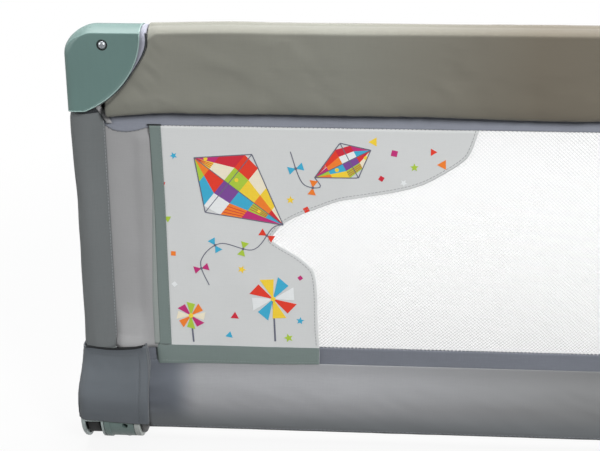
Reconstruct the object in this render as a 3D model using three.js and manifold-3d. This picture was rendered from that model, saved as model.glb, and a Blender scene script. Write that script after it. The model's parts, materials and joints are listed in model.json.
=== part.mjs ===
// Folding guard rail for the side of a bed, in millimetres, +Z up.
// X runs along the rail, the outer side faces -Y and the two legs lie towards +Y.
// Each end of the rail is modelled in u, the distance inward from the knuckle's outer face,
// with y measured from the panel's plane. The right end is the mirror image of the left one.
import * as THREE from 'three';
import { mergeVertices } from 'three/addons/utils/BufferGeometryUtils.js';
import Module from 'manifold-3d';

const wasm = await Module();
wasm.setup();

// Driving sizes
const RAIL_LENGTH = 950;
const RAIL_HEIGHT = 450;
const LEG_REACH = 400;
const PIVOT_HEIGHT = 38;
const HINGE_RADIUS = 36;
const FRAME_TUBE_RADIUS = 11;
const AXLE_TUBE_RADIUS = 9.5;
const LEG_TUBE_RADIUS = 8;
const TUBE_WALL = 1.2;
const FABRIC = 1;
const CLEARANCE = 0.3;
const RUNNING_CLEARANCE = 0.5;
const OVERRUN = 3;
const HALF_TURN = Math.PI;
const SHARPEST_CORNER_SHARE = 0.5;

// How many flat sides a round piece gets
const TUBE_SIDES = 16;
const DRUM_SIDES = 28;
const SMALL_SIDES = 8;

// Frame tubes
const TOP_TUBE_DROP = 20;
const TOP_TUBE_END = 22;
const UPRIGHT_CENTRE = 18.5;
const TUBE_CORNER_GAP = 5;
const top_tube_height = RAIL_HEIGHT - TOP_TUBE_DROP;
const upright_top = top_tube_height - FRAME_TUBE_RADIUS - TUBE_CORNER_GAP;

// Corner caps
const CAP_START = 4.5;
const CAP_REACH = 79;
const CAP_DROP = 85;
const CAP_FOOT = 17.5;
const CAP_DEPTH = 42;
const CAP_CORNER_RADIUS = 30;
const CAP_WALL = 2.4;
const CAP_EDGE_RADIUS = 3;
const CAP_RIB = 2.6;
const CAP_ARC_SHARES = [[0.956, 0.412], [0.639, 0.847]];
const CAP_RIB_REACH_SHARES = [0.3, 0.62, 0.86];
const CAP_RIB_DROP_SHARES = [0.66, 0.9];
const CORNER_SCREW_PLACE = 43.3;
const CORNER_HEAD_RADIUS = 4.25;
const CORNER_HEAD_HEIGHT = 2.2;
const CORNER_SHANK_RADIUS = 2;
const CORNER_RING_RADIUS = 5.3;
const CORNER_RING_DEPTH = 1.5;
const CORNER_BOSS_RADIUS = 6.6;
const NUT_RADIUS = 4;
const NUT_HEIGHT = 3.2;
const NUT_SIDES = 6;
const cap_bottom = RAIL_HEIGHT - CAP_DROP;

// Padded top rail
const PAD_START = 40;
const PAD_HALF_DEPTH = 21;
const PAD_DROP = 89;
const PAD_CROWN = 22;
const PAD_SLIT = 2.4;
const PAD_END_DROOP = 6;
const PAD_DROOP_LENGTH = 70;
const PAD_SIDE_SHARES = [[0.98, 0.72], [0.9, 0.36], [0.84, 0.14], [0.7, 0.02], [0.4, 0]];
const PAD_DROOP_STATIONS = 3;
const FOAM_DROP = 78;

// Net, its bindings and the flat fabric beside it
const SLEEVE_START = 3;
const SLEEVE_SEAM = 37;
const SLEEVE_HALF_DEPTH = 12.6;
const SLEEVE_PINCH_SHARE = 0.55;
const WINDOW_START = 93;
const WINDOW_BOTTOM = 110;
const WINDOW_DROP = 102;
const BINDING_SIDE_WIDTH = 11;
const BINDING_BOTTOM_WIDTH = 20;
const BINDING_TOP_WIDTH = 18;
const BINDING_LAYER = 0.9;
const BINDING_GRIP = 6;
const NET_THICKNESS = 1.2;
const NET_STRAND = 2.4;
const NET_COLUMNS = 16;
const NET_ROWS = 6;
const SIDE_PANEL_THICKNESS = 2;

// Printed patch
const PATCH_START = 70.5;
const PATCH_WIDTH = 333;
const PATCH_THICKNESS = 0.8;
const PATCH_OUTLINE_SHARES = [
  [0.027, 0], [1, 0], [0.981, 0.082], [0.96, 0.121], [0.912, 0.166], [0.846, 0.215],
  [0.772, 0.245], [0.674, 0.27], [0.599, 0.288], [0.528, 0.323], [0.467, 0.357], [0.422, 0.395],
  [0.394, 0.443], [0.391, 0.456], [0.422, 0.484], [0.467, 0.519], [0.503, 0.557], [0.523, 0.592],
  [0.532, 0.674], [0.535, 0.819], [0.541, 0.921], [0.541, 1], [0, 1],
];

// Lower band round the lower tube
const BAND_START = 66.5;
const BAND_HEM_HEIGHT = 10;
const BAND_SEAM_GAP = 0.4;
const BAND_HALF_DEPTH = AXLE_TUBE_RADIUS + CLEARANCE + FABRIC;
const BAND_SIDE_SHARES = [
  [0.13, 1], [0.33, 0.86], [0.78, 0.64], [1, 0.44], [1, 0.26], [0.78, 0.12], [0.36, 0.02],
];

// Hinge, outer half: the knuckle on the panel
const KNUCKLE_WIDTH = 24.1;
const KNUCKLE_OUTER_WALL = 3;
const KNUCKLE_EDGE_RADIUS = 4;
const KNUCKLE_DRUM_WALL = 2.8;
const KNUCKLE_INNER_WALL = 2.2;
const KNUCKLE_WINDOW_START = 4.7;
const KNUCKLE_WINDOW_TOP = 34;
const NECK_START = 3.5;
const NECK_END = 34.5;
const NECK_HALF_DEPTH = 14.5;
const NECK_TOP = 106;
const NECK_ROOT = 67;
const NECK_RISE = 1.5;
const WEB_SEAT = 0.75;
const NECK_CORNER_RADIUS = 5;
const NECK_SCREW_HEIGHT = 92;
const HUB_WALL = 2;
const HUB_START = 13.7;
const LOWER_TUBE_START = 14;
const WEB_START = 15.2;
const WEB_WIDTH = 2.6;

// Hinge, inner half: the base housing on the leg
const JOINT_GAP = 0.5;
const FLANGE_WIDTH = 5.7;
const HOUSING_WIDTH = 31.4;
const HOUSING_STEP = 1.2;
const LEG_PLACE = 46.6;
const LEG_HEIGHT = 12.5;
const LEG_SOCKET_FRONT = 20;
const FOOT_WIDTH = 18;
const FOOT_FRONT = 4;
const FOOT_REAR = 30;
const FOOT_TOP = 14;
const BUSH_WALL = 2.5;
const BUSH_SLEEVE_START = 44.5;
const BUSH_FLANGE_WIDTH = 6.1;
const COLLAR_WIDTH = 2.8;
const COLLAR_RADIUS = 31;
const BUSH_SCREW_HEIGHT = 31;
const BUSH_SCREW_HOLE_RADIUS = 3.2;
const BUSH_SCREW_SEAT = 22;

// Lock: gear, spring and button
const GEAR_START = 19.5;
const GEAR_WIDTH = 10;
const GEAR_TEETH = 12;
const GEAR_BORE_RADIUS = 10;
const GEAR_ROOT_RADIUS = 15.6;
const GEAR_TIP_RADIUS = 19;
const GEAR_CLEARANCE = 0.4;
const GEAR_TOOTH_SHARES = [[-0.3, 0], [-0.18, 1], [0.18, 1], [0.3, 0]];
const GEAR_RING_RADIUS = 24;
const BUTTON_TRAVEL = 6;
const BUTTON_RADIUS = 13;
const BUTTON_THICKNESS = 6;
const BUTTON_DOME = 0.8;
const PRONG_COUNT = 3;
const PRONG_RADIUS = 1.4;
const PRONG_CIRCLE_RADIUS = 13.7;
const SPRING_RADIUS = 12.3;
const SPRING_WIRE_RADIUS = 0.8;
const SPRING_TURNS = 4;
const SPRING_STEPS_PER_TURN = 8;
const SPRING_WIRE_SIDES = 4;
const SPRING_POCKET_RADIUS = 14.2;

// Leg
const LEG_CAP_LENGTH = 26;
const LEG_CAP_HALF_WIDTH = 11.5;
const LEG_CAP_CORNER_RADIUS = 4;
const LEG_CAP_END_WALL = 4;

// Small screws
const SCREW_HEAD_RADIUS = 3.6;
const SCREW_HEAD_HEIGHT = 1.8;
const SCREW_SHANK_RADIUS = 1.7;
const SCREW_RECESS = 2.2;
const LEG_SCREW_PLACE = 16;
const BUSH_SCREW_HEAD_RADIUS = 2.8;
const SLOT_WIDTH = 1.1;
const SLOT_LENGTH_SHARE = 1.1;
const SLOT_DEPTH_SHARE = 0.5;
const HEAD_PROFILE_SHARES = [[1, 0.45], [0.7, 0.9]];

// Hinge cuff
const CUFF_END = 73;
const CUFF_BACK_END = 35;
const CUFF_CLEARANCE = 0.6;
const CUFF_CORNER_RADIUS = KNUCKLE_EDGE_RADIUS + CUFF_CLEARANCE + FABRIC;
const CUFF_BOTTOM = 30;
const CUFF_TOP = 110;
const CUFF_SHOULDER_DEPTH = 28.8;
const CUFF_NECK_DEPTH = 17.5;
const CUFF_TOP_DEPTH = 15.5;
const CUFF_TOP_OUTSET = 2.8;
const CUFF_HEIGHT_SHARES = [0, 0.275, 0.525, 0.775, 1];
const CUFF_DEPTHS = [HINGE_RADIUS, HINGE_RADIUS, CUFF_SHOULDER_DEPTH, CUFF_NECK_DEPTH, CUFF_TOP_DEPTH];
const CUFF_OUTSET_SHARES = [0, 0, 0, 0.5, 1];

// Places that follow from the sizes above
const half_length = RAIL_LENGTH / 2;
const housing_start = KNUCKLE_WIDTH + JOINT_GAP;
const housing_end = housing_start + HOUSING_WIDTH;
const bush_flange_start = housing_end + CLEARANCE;
const bush_flange_end = bush_flange_start + BUSH_FLANGE_WIDTH;
const collar_start = bush_flange_end + RUNNING_CLEARANCE;
const housing_radius = HINGE_RADIUS - HOUSING_STEP;
const axle_bore_radius = AXLE_TUBE_RADIUS + CLEARANCE;
const gear_end = GEAR_START + GEAR_WIDTH;
const gear_pocket_end = gear_end + BUTTON_TRAVEL + RUNNING_CLEARANCE;
const gear_pocket_radius = GEAR_TIP_RADIUS + 2 * GEAR_CLEARANCE;
const bush_radius = axle_bore_radius + BUSH_WALL;
const screw_clear = SCREW_SHANK_RADIUS + CLEARANCE;
const cuff_outer = HINGE_RADIUS + CUFF_CLEARANCE + FABRIC;
const panel_y = (cuff_outer - LEG_REACH) / 2;
const pad_bottom = RAIL_HEIGHT - PAD_DROP;
const foam_bottom = RAIL_HEIGHT - FOAM_DROP;
const window_top = RAIL_HEIGHT - WINDOW_DROP;
const pad_side_height = RAIL_HEIGHT - PAD_CROWN - pad_bottom;
const patch_drop = window_top - WINDOW_BOTTOM + BINDING_BOTTOM_WIDTH - 2 * CLEARANCE;

// Points and outlines
const point = (x, y) => new THREE.Vector2(x, y);

function circle(radius, x, y, sides) {
  const points = [];
  for (let i = 0; i < sides; i += 1) {
    const angle = (2 * HALF_TURN * (i + 0.5)) / sides;
    points.push(point(x + radius * Math.cos(angle), y + radius * Math.sin(angle)));
  }
  return points;
}

function arc(x, y, radius, from, to, steps) {
  const points = [];
  for (let i = 0; i <= steps; i += 1) {
    const angle = from + ((to - from) * i) / steps;
    points.push(point(x + radius * Math.cos(angle), y + radius * Math.sin(angle)));
  }
  return points;
}

function rectangle(left, bottom, right, top) {
  return [point(left, bottom), point(right, bottom), point(right, top), point(left, top)];
}

function roundedRectangle(left, bottom, right, top, radius, steps = 2) {
  const quarter = HALF_TURN / 2;
  return [
    ...arc(right - radius, top - radius, radius, 0, quarter, steps),
    ...arc(left + radius, top - radius, radius, quarter, 2 * quarter, steps),
    ...arc(left + radius, bottom + radius, radius, 2 * quarter, 3 * quarter, steps),
    ...arc(right - radius, bottom + radius, radius, 3 * quarter, 4 * quarter, steps),
  ];
}

// Moves each point of a line or loop along its normal, to the right of the way it runs
function offset(points, distance, closed) {
  const count = points.length;
  return points.map((p, i) => {
    const before = closed || i > 0 ? points[(i + count - 1) % count] : p;
    const after = closed || i < count - 1 ? points[(i + 1) % count] : p;
    const into = p.clone().sub(before);
    const out = after.clone().sub(p);
    if (into.length() === 0) into.copy(out);
    if (out.length() === 0) out.copy(into);
    into.normalize();
    out.normalize();
    const normal = point(into.y + out.y, -into.x - out.x).normalize();
    const stretch = Math.max(normal.x * into.y - normal.y * into.x, SHARPEST_CORNER_SHARE);
    return p.clone().addScaledVector(normal, distance / stretch);
  });
}

// A layer of cloth that follows a line, with its thickness to the left of the way it runs
function ribbon(line, thickness) {
  return [...line, ...offset(line, -thickness, false).reverse()];
}

// Geometry helpers
function bare(geometry) {
  const copy = geometry.clone();
  copy.deleteAttribute('normal');
  copy.deleteAttribute('uv');
  const merged = mergeVertices(copy);
  const place = merged.attributes.position;
  const corners = [new THREE.Vector3(), new THREE.Vector3(), new THREE.Vector3()];
  let volume = 0;
  for (let i = 0; i < merged.index.count; i += 3) {
    corners.forEach((corner, k) => corner.fromBufferAttribute(place, merged.index.getX(i + k)));
    volume += corners[0].dot(corners[1].clone().cross(corners[2]));
  }
  if (volume < 0) turnOver(merged);
  return merged;
}

function turnOver(geometry) {
  const index = geometry.index;
  for (let i = 0; i < index.count; i += 3) {
    const first = index.getX(i);
    index.setX(i, index.getX(i + 2));
    index.setX(i + 2, first);
  }
}

function solid(geometry) {
  const merged = bare(geometry);
  const mesh = new wasm.Mesh({
    numProp: 3,
    vertProperties: new Float32Array(merged.attributes.position.array),
    triVerts: new Uint32Array(merged.index.array),
  });
  return new wasm.Manifold(mesh);
}

function shapeOf(manifold) {
  const mesh = manifold.getMesh();
  const geometry = new THREE.BufferGeometry();
  const places = [];
  for (let i = 0; i < mesh.vertProperties.length; i += mesh.numProp) {
    places.push(mesh.vertProperties[i], mesh.vertProperties[i + 1], mesh.vertProperties[i + 2]);
  }
  geometry.setAttribute('position', new THREE.Float32BufferAttribute(places, 3));
  geometry.setIndex(Array.from(mesh.triVerts));
  return geometry;
}

const X_AXIS = new THREE.Vector3(1, 0, 0);
const Y_AXIS = new THREE.Vector3(0, 1, 0);
const Z_AXIS = new THREE.Vector3(0, 0, 1);
const FRAMES = {
  x: new THREE.Matrix4().makeBasis(Y_AXIS, Z_AXIS, X_AXIS),
  y: new THREE.Matrix4().makeBasis(X_AXIS, Z_AXIS, Y_AXIS.clone().negate()),
  z: new THREE.Matrix4(),
};

// A prism along an axis. Its outline is in (y, z) along x, in (x, z) along y and in (x, y) along z.
function prism(axis, outline, from, to, holes = []) {
  const shape = new THREE.Shape(outline);
  holes.forEach((hole) => shape.holes.push(new THREE.Path(hole)));
  const geometry = new THREE.ExtrudeGeometry(shape, { depth: to - from, bevelEnabled: false });
  geometry.applyMatrix4(FRAMES[axis]);
  if (axis === 'x') geometry.translate(from, 0, 0);
  if (axis === 'y') geometry.translate(0, to, 0);
  if (axis === 'z') geometry.translate(0, 0, from);
  return geometry;
}

const cut = (axis, outline, from, to, holes) => solid(prism(axis, outline, from, to, holes));
const drum = (radius, from, to, sides = DRUM_SIDES) => (
  cut('x', circle(radius, 0, PIVOT_HEIGHT, sides), from, to)
);

// A round bar along an axis, with its centre at (a, b) across that axis
function rod(axis, radius, a, b, from, to, sides = SMALL_SIDES) {
  return cut(axis, circle(radius, a, b, sides), from, to);
}

function pipe(axis, radius, a, b, from, to) {
  const hole = circle(radius - TUBE_WALL, a, b, TUBE_SIDES);
  return prism(axis, circle(radius, a, b, TUBE_SIDES), from, to, [hole]);
}

// Joins loops of equally many points, one after another, and closes both ends
function loft(loops, flat) {
  const count = loops[0].length;
  const places = [];
  loops.forEach((loop) => loop.forEach((p) => places.push(p.x, p.y, p.z)));
  const index = [];
  for (let k = 0; k < loops.length - 1; k += 1) {
    for (let i = 0; i < count; i += 1) {
      const a = k * count + i;
      const b = k * count + ((i + 1) % count);
      index.push(a, b, b + count, a, b + count, a + count);
    }
  }
  const last = (loops.length - 1) * count;
  THREE.ShapeUtils.triangulateShape(loops[0].map(flat), []).forEach(([a, b, c]) => index.push(c, b, a));
  THREE.ShapeUtils.triangulateShape(loops[loops.length - 1].map(flat), []).forEach(([a, b, c]) => {
    index.push(last + a, last + b, last + c);
  });
  const geometry = new THREE.BufferGeometry();
  geometry.setAttribute('position', new THREE.Float32BufferAttribute(places, 3));
  geometry.setIndex(index);
  return geometry;
}

// A screw along -Y with the underside of its head at y = 0 and its head towards +Y
function screw(headRadius, headHeight, shankRadius, length, sides = SMALL_SIDES) {
  const profile = [
    point(0, -length),
    point(shankRadius, -length),
    point(shankRadius, 0),
    point(headRadius, 0),
    ...HEAD_PROFILE_SHARES.map(([out, up]) => point(headRadius * out, headHeight * up)),
    point(0, headHeight),
  ];
  return new THREE.LatheGeometry(profile, sides);
}

// The same screw with a cross cut into its head
function crossScrew(headRadius, headHeight, shankRadius, length) {
  const body = solid(screw(headRadius, headHeight, shankRadius, length, TUBE_SIDES));
  const half = (headRadius * SLOT_LENGTH_SHARE) / 2;
  const floor = headHeight * (1 - SLOT_DEPTH_SHARE);
  const slots = [
    cut('y', rectangle(-half, -SLOT_WIDTH / 2, half, SLOT_WIDTH / 2), floor, headHeight + OVERRUN),
    cut('y', rectangle(-SLOT_WIDTH / 2, -half, SLOT_WIDTH / 2, half), floor, headHeight + OVERRUN),
  ];
  return shapeOf(body.subtract(slots[0].add(slots[1])));
}

// Finishes, named by what they look like
const FINISHES = {
  sagePlastic: { color: 0x737d76, roughness: 0.42, metalness: 0 },
  tealPlastic: { color: 0x5d6b6a, roughness: 0.5, metalness: 0 },
  blackPlastic: { color: 0x1c1d1e, roughness: 0.5, metalness: 0 },
  lightPlastic: { color: 0xb9bdb8, roughness: 0.5, metalness: 0 },
  steelTube: { color: 0xc9cbcb, roughness: 0.4, metalness: 0.7 },
  zincScrew: { color: 0xd5d5d2, roughness: 0.25, metalness: 1 },
  paddedFabric: { color: 0x79746f, roughness: 0.9, metalness: 0 },
  greyFabric: { color: 0x86837f, roughness: 0.92, metalness: 0 },
  bindingFabric: { color: 0x666b75, roughness: 0.9, metalness: 0 },
  cuffFabric: { color: 0x666a6c, roughness: 0.9, metalness: 0 },
  netFabric: { color: 0xf2f3f3, roughness: 0.8, metalness: 0 },
  patchFabric: { color: 0xcdcfcc, roughness: 0.85, metalness: 0 },
  foam: { color: 0xe8e4d8, roughness: 1, metalness: 0 },
};

const rail = new THREE.Group();
rail.position.y = panel_y;
const leftEnd = new THREE.Group();
leftEnd.position.x = -half_length;
const rightEnd = new THREE.Group();
rightEnd.position.x = half_length;
rail.add(leftEnd, rightEnd);

function add(name, geometry, finish, parent = rail) {
  const mesh = new THREE.Mesh(bare(geometry), new THREE.MeshStandardMaterial(FINISHES[finish]));
  mesh.name = name;
  parent.add(mesh);
}

function addPair(name, geometry, finish) {
  add(`left_${name}`, geometry, finish, leftEnd);
  const mirrored = geometry.clone().scale(-1, 1, 1);
  add(`right_${name}`, mirrored, finish, rightEnd);
}

const inPlace = (geometry, u, y, z) => geometry.clone().translate(u, y, z);

// Frame tubes
function topTube() {
  const end = half_length - TOP_TUBE_END;
  const bar = solid(pipe('x', FRAME_TUBE_RADIUS, 0, top_tube_height, -end, end));
  const holes = [-1, 1].map((side) => {
    const place = side * (half_length - CORNER_SCREW_PLACE);
    return rod('y', CORNER_SHANK_RADIUS + CLEARANCE, place, top_tube_height, -CAP_DEPTH, CAP_DEPTH);
  });
  return shapeOf(bar.subtract(holes[0]).subtract(holes[1]));
}

const neck_bore_bottom = PIVOT_HEIGHT + HINGE_RADIUS + OVERRUN;

function uprightTube() {
  const bottom = neck_bore_bottom + CLEARANCE;
  const bar = solid(pipe('z', FRAME_TUBE_RADIUS, UPRIGHT_CENTRE, 0, bottom, upright_top));
  return shapeOf(bar.subtract(rod('y', screw_clear, UPRIGHT_CENTRE, NECK_SCREW_HEIGHT, 0, NECK_HALF_DEPTH)));
}

function lowerTube() {
  const start = LOWER_TUBE_START - half_length;
  const bar = solid(pipe('x', AXLE_TUBE_RADIUS, 0, PIVOT_HEIGHT, start, -start));
  const holes = [-1, 1].map((side) => {
    const place = side * (half_length - WEB_START - WEB_WIDTH / 2);
    return rod('y', screw_clear, place, PIVOT_HEIGHT, 0, HINGE_RADIUS);
  });
  return shapeOf(bar.subtract(holes[0]).subtract(holes[1]));
}

add('top_tube', topTube(), 'steelTube');
addPair('upright_tube', uprightTube(), 'steelTube');
add('lower_tube', lowerTube(), 'steelTube');

// Corner cap, a quarter disc with its corner up and outwards, in (u, z)
function capOutline(grow = 0) {
  const corner = CAP_START + CAP_CORNER_RADIUS;
  const foot = point(CAP_START + CAP_FOOT, cap_bottom);
  const controls = CAP_ARC_SHARES.map(([reach, drop]) => (
    point(CAP_START + CAP_REACH * reach, RAIL_HEIGHT - CAP_DROP * drop)
  ));
  const top = point(CAP_START + CAP_REACH, RAIL_HEIGHT);
  const curve = new THREE.CubicBezierCurve(foot, controls[1], controls[0], top);
  const outline = [
    point(CAP_START, cap_bottom),
    ...curve.getPoints(9),
    ...arc(corner, RAIL_HEIGHT - CAP_CORNER_RADIUS, CAP_CORNER_RADIUS, HALF_TURN / 2, HALF_TURN, 6),
  ];
  return grow === 0 ? outline : offset(outline, grow, true);
}

function capBody() {
  const shape = new THREE.Shape(capOutline());
  const geometry = new THREE.ExtrudeGeometry(shape, {
    depth: CAP_DEPTH - 2 * CAP_EDGE_RADIUS,
    bevelThickness: CAP_EDGE_RADIUS,
    bevelSize: CAP_EDGE_RADIUS,
    bevelOffset: -CAP_EDGE_RADIUS,
    bevelSegments: 2,
  });
  geometry.applyMatrix4(FRAMES.y);
  geometry.translate(0, CAP_DEPTH / 2 - CAP_EDGE_RADIUS, 0);
  return solid(geometry);
}

function capShells() {
  const half_depth = CAP_DEPTH / 2;
  const inner_depth = half_depth - CAP_WALL;
  const cavity = cut('y', capOutline(-CAP_WALL), -inner_depth, inner_depth);
  const end = CAP_START + CAP_REACH + OVERRUN;
  let plates = rod('y', CORNER_BOSS_RADIUS, CORNER_SCREW_PLACE, top_tube_height, -half_depth, half_depth);
  CAP_RIB_REACH_SHARES.forEach((share) => {
    const u = CAP_START + CAP_REACH * share;
    const bottom = top_tube_height - FRAME_TUBE_RADIUS - CAP_RIB;
    plates = plates.add(cut('y', rectangle(u, bottom, u + CAP_RIB, RAIL_HEIGHT), -half_depth, half_depth));
  });
  const rib_end = UPRIGHT_CENTRE + FRAME_TUBE_RADIUS + CAP_WALL;
  CAP_RIB_DROP_SHARES.forEach((share) => {
    const z = RAIL_HEIGHT - CAP_DROP * share;
    plates = plates.add(cut('y', rectangle(CAP_START, z, rib_end, z + CAP_RIB), -half_depth, half_depth));
  });
  const seat = FRAME_TUBE_RADIUS + CLEARANCE;
  const shank = CORNER_SHANK_RADIUS + CLEARANCE;
  const upright_end = upright_top + CLEARANCE;
  const ring_floor = CORNER_RING_DEPTH - half_depth;
  const atScrew = (radius, from, to, sides) => (
    rod('y', radius, CORNER_SCREW_PLACE, top_tube_height, from, to, sides)
  );
  const whole = capBody().subtract(cavity).add(cavity.intersect(plates))
    .subtract(rod('x', seat, 0, top_tube_height, TOP_TUBE_END - CLEARANCE, end, TUBE_SIDES))
    .subtract(rod('z', seat, UPRIGHT_CENTRE, 0, cap_bottom - OVERRUN, upright_end, TUBE_SIDES))
    .subtract(atScrew(shank, -CAP_DEPTH, CAP_DEPTH, SMALL_SIDES))
    .subtract(atScrew(CORNER_RING_RADIUS, -CAP_DEPTH, ring_floor, TUBE_SIDES))
    .subtract(atScrew(NUT_RADIUS + CLEARANCE, half_depth - NUT_HEIGHT, CAP_DEPTH, NUT_SIDES));
  const parting = CLEARANCE / 2;
  const room = rectangle(0, cap_bottom - OVERRUN, end, RAIL_HEIGHT + OVERRUN);
  return {
    front: shapeOf(whole.intersect(cut('y', room, -CAP_DEPTH, -parting))),
    rear: shapeOf(whole.intersect(cut('y', room, parting, CAP_DEPTH))),
  };
}

const shells = capShells();
addPair('corner_front_shell', shells.front, 'sagePlastic');
addPair('corner_rear_shell', shells.rear, 'sagePlastic');

// Corner screw, with its head in the front ring, and the nut behind
function cornerScrew() {
  const seat = CAP_DEPTH / 2 - CORNER_RING_DEPTH + CLEARANCE;
  const length = seat + CAP_DEPTH / 2 - CLEARANCE;
  const shape = crossScrew(CORNER_HEAD_RADIUS, CORNER_HEAD_HEIGHT, CORNER_SHANK_RADIUS, length);
  shape.rotateZ(HALF_TURN);
  return inPlace(shape, CORNER_SCREW_PLACE, -seat, top_tube_height);
}

function cornerNut() {
  const bore = circle(CORNER_SHANK_RADIUS + CLEARANCE, CORNER_SCREW_PLACE, top_tube_height, SMALL_SIDES);
  const outline = circle(NUT_RADIUS, CORNER_SCREW_PLACE, top_tube_height, NUT_SIDES);
  const from = CAP_DEPTH / 2 - NUT_HEIGHT + CLEARANCE;
  return prism('y', outline, from, from + NUT_HEIGHT - CLEARANCE, [bore]);
}

addPair('corner_screw', cornerScrew(), 'zincScrew');
addPair('corner_nut', cornerNut(), 'zincScrew');

// Padded top rail: fabric over foam, with a rounded crown and a lower edge that droops at its ends
function padLine(droop) {
  const side = PAD_SIDE_SHARES.map(([y, z]) => (
    point(PAD_HALF_DEPTH * y, pad_bottom + pad_side_height * z - droop * (1 - z))
  ));
  const crown = arc(0, 0, 1, 0, HALF_TURN, 10).map((p) => (
    point(PAD_HALF_DEPTH * p.x, RAIL_HEIGHT - PAD_CROWN + PAD_CROWN * p.y)
  ));
  const slit = point(PAD_SLIT, pad_bottom - droop);
  const right = [slit, ...[...side].reverse()];
  const left = right.map((p) => point(-p.x, p.y)).reverse();
  return [...right, ...crown, ...left];
}

function droopAt(x, end) {
  const share = Math.max(0, 1 - (end - Math.abs(x)) / PAD_DROOP_LENGTH);
  return PAD_END_DROOP * share * share;
}

function padStations() {
  const end = half_length - PAD_START;
  const places = [];
  for (let i = 0; i <= PAD_DROOP_STATIONS; i += 1) {
    places.push(-end + (PAD_DROOP_LENGTH * i) / PAD_DROOP_STATIONS);
  }
  return [...places, ...places.map((x) => -x).reverse()];
}

function capRoom() {
  const outline = capOutline(CLEARANCE);
  const left = outline.map((p) => point(p.x - half_length, p.y));
  const right = outline.map((p) => point(half_length - p.x, p.y)).reverse();
  return cut('y', left, -CAP_DEPTH, CAP_DEPTH).add(cut('y', right, -CAP_DEPTH, CAP_DEPTH));
}

function topRailSleeve() {
  const end = half_length - PAD_START;
  const loops = padStations().map((x) => (
    ribbon(padLine(droopAt(x, end)), FABRIC).map((p) => new THREE.Vector3(x, p.x, p.y))
  ));
  const cloth = solid(loft(loops, (p) => point(p.y, p.z)));
  return shapeOf(cloth.subtract(capRoom()));
}

function topRailFoam() {
  const end = half_length - PAD_START;
  const outline = offset(padLine(0), -FABRIC - CLEARANCE, false);
  const room = rectangle(-PAD_HALF_DEPTH, foam_bottom, PAD_HALF_DEPTH, RAIL_HEIGHT);
  const bore = circle(FRAME_TUBE_RADIUS + CLEARANCE, 0, top_tube_height, TUBE_SIDES);
  const block = cut('x', outline, -end, end, [bore]).intersect(cut('x', room, -end, end));
  return shapeOf(block.subtract(capRoom()));
}

add('top_rail_foam', topRailFoam(), 'foam');
add('top_rail_sleeve', topRailSleeve(), 'paddedFabric');

// Fabric round each upright tube, drawn to a seam on its inner side
function uprightSleeve() {
  const outline = arc(0, 0, 1, 0, 2 * HALF_TURN, TUBE_SIDES).slice(1).map((p) => {
    const reach = p.x > 0 ? SLEEVE_SEAM - UPRIGHT_CENTRE : UPRIGHT_CENTRE - SLEEVE_START;
    const pinch = 1 - SLEEVE_PINCH_SHARE * Math.max(0, p.x) ** 2;
    return point(UPRIGHT_CENTRE + reach * p.x, SLEEVE_HALF_DEPTH * p.y * pinch);
  });
  const hole = offset(outline, -FABRIC, true);
  return prism('z', outline, NECK_TOP + CLEARANCE, cap_bottom - CLEARANCE, [hole]);
}

addPair('upright_sleeve', uprightSleeve(), 'greyFabric');

// Flat strip between the upright's seam and the net's side binding
const bind_side_start = WINDOW_START - BINDING_SIDE_WIDTH;
const half_binding = NET_THICKNESS / 2 + CLEARANCE + BINDING_LAYER;
const side_panel_bottom = WINDOW_BOTTOM + CLEARANCE;
const side_panel_top = window_top - CLEARANCE;
const half_panel = SIDE_PANEL_THICKNESS / 2;
const panelOutline = rectangle(SLEEVE_SEAM + CLEARANCE, -half_panel, bind_side_start - CLEARANCE, half_panel);
const sidePanel = prism('z', panelOutline, side_panel_bottom, side_panel_top);
addPair('side_panel', sidePanel, 'greyFabric');

// Bindings, folded over the net's edges. The channel's outline runs from its back to its mouth.
function channel(width) {
  return [
    point(0, -half_binding),
    point(width, -half_binding),
    point(width, BINDING_LAYER - half_binding),
    point(width - BINDING_GRIP, BINDING_LAYER - half_binding),
    point(width - BINDING_GRIP, half_binding - BINDING_LAYER),
    point(width, half_binding - BINDING_LAYER),
    point(width, half_binding),
    point(0, half_binding),
  ];
}

const binding_start = SLEEVE_SEAM + CLEARANCE - half_length;
const band_top = WINDOW_BOTTOM - BINDING_BOTTOM_WIDTH;
const upBinding = channel(BINDING_BOTTOM_WIDTH).map((p) => point(p.y, band_top + p.x));
const downBinding = channel(BINDING_TOP_WIDTH).map((p) => point(p.y, window_top + BINDING_TOP_WIDTH - p.x));
const inBinding = channel(BINDING_SIDE_WIDTH).map((p) => point(bind_side_start + p.x, p.y));
add('binding_bottom', prism('x', upBinding, binding_start, -binding_start), 'bindingFabric');
add('binding_top', prism('x', downBinding, binding_start, -binding_start), 'bindingFabric');
const sideBinding = prism('z', inBinding, side_panel_bottom, side_panel_top);
add('binding_left', sideBinding, 'bindingFabric', leftEnd);
add('binding_right', sideBinding.clone().scale(-1, 1, 1), 'bindingFabric', rightEnd);

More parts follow.
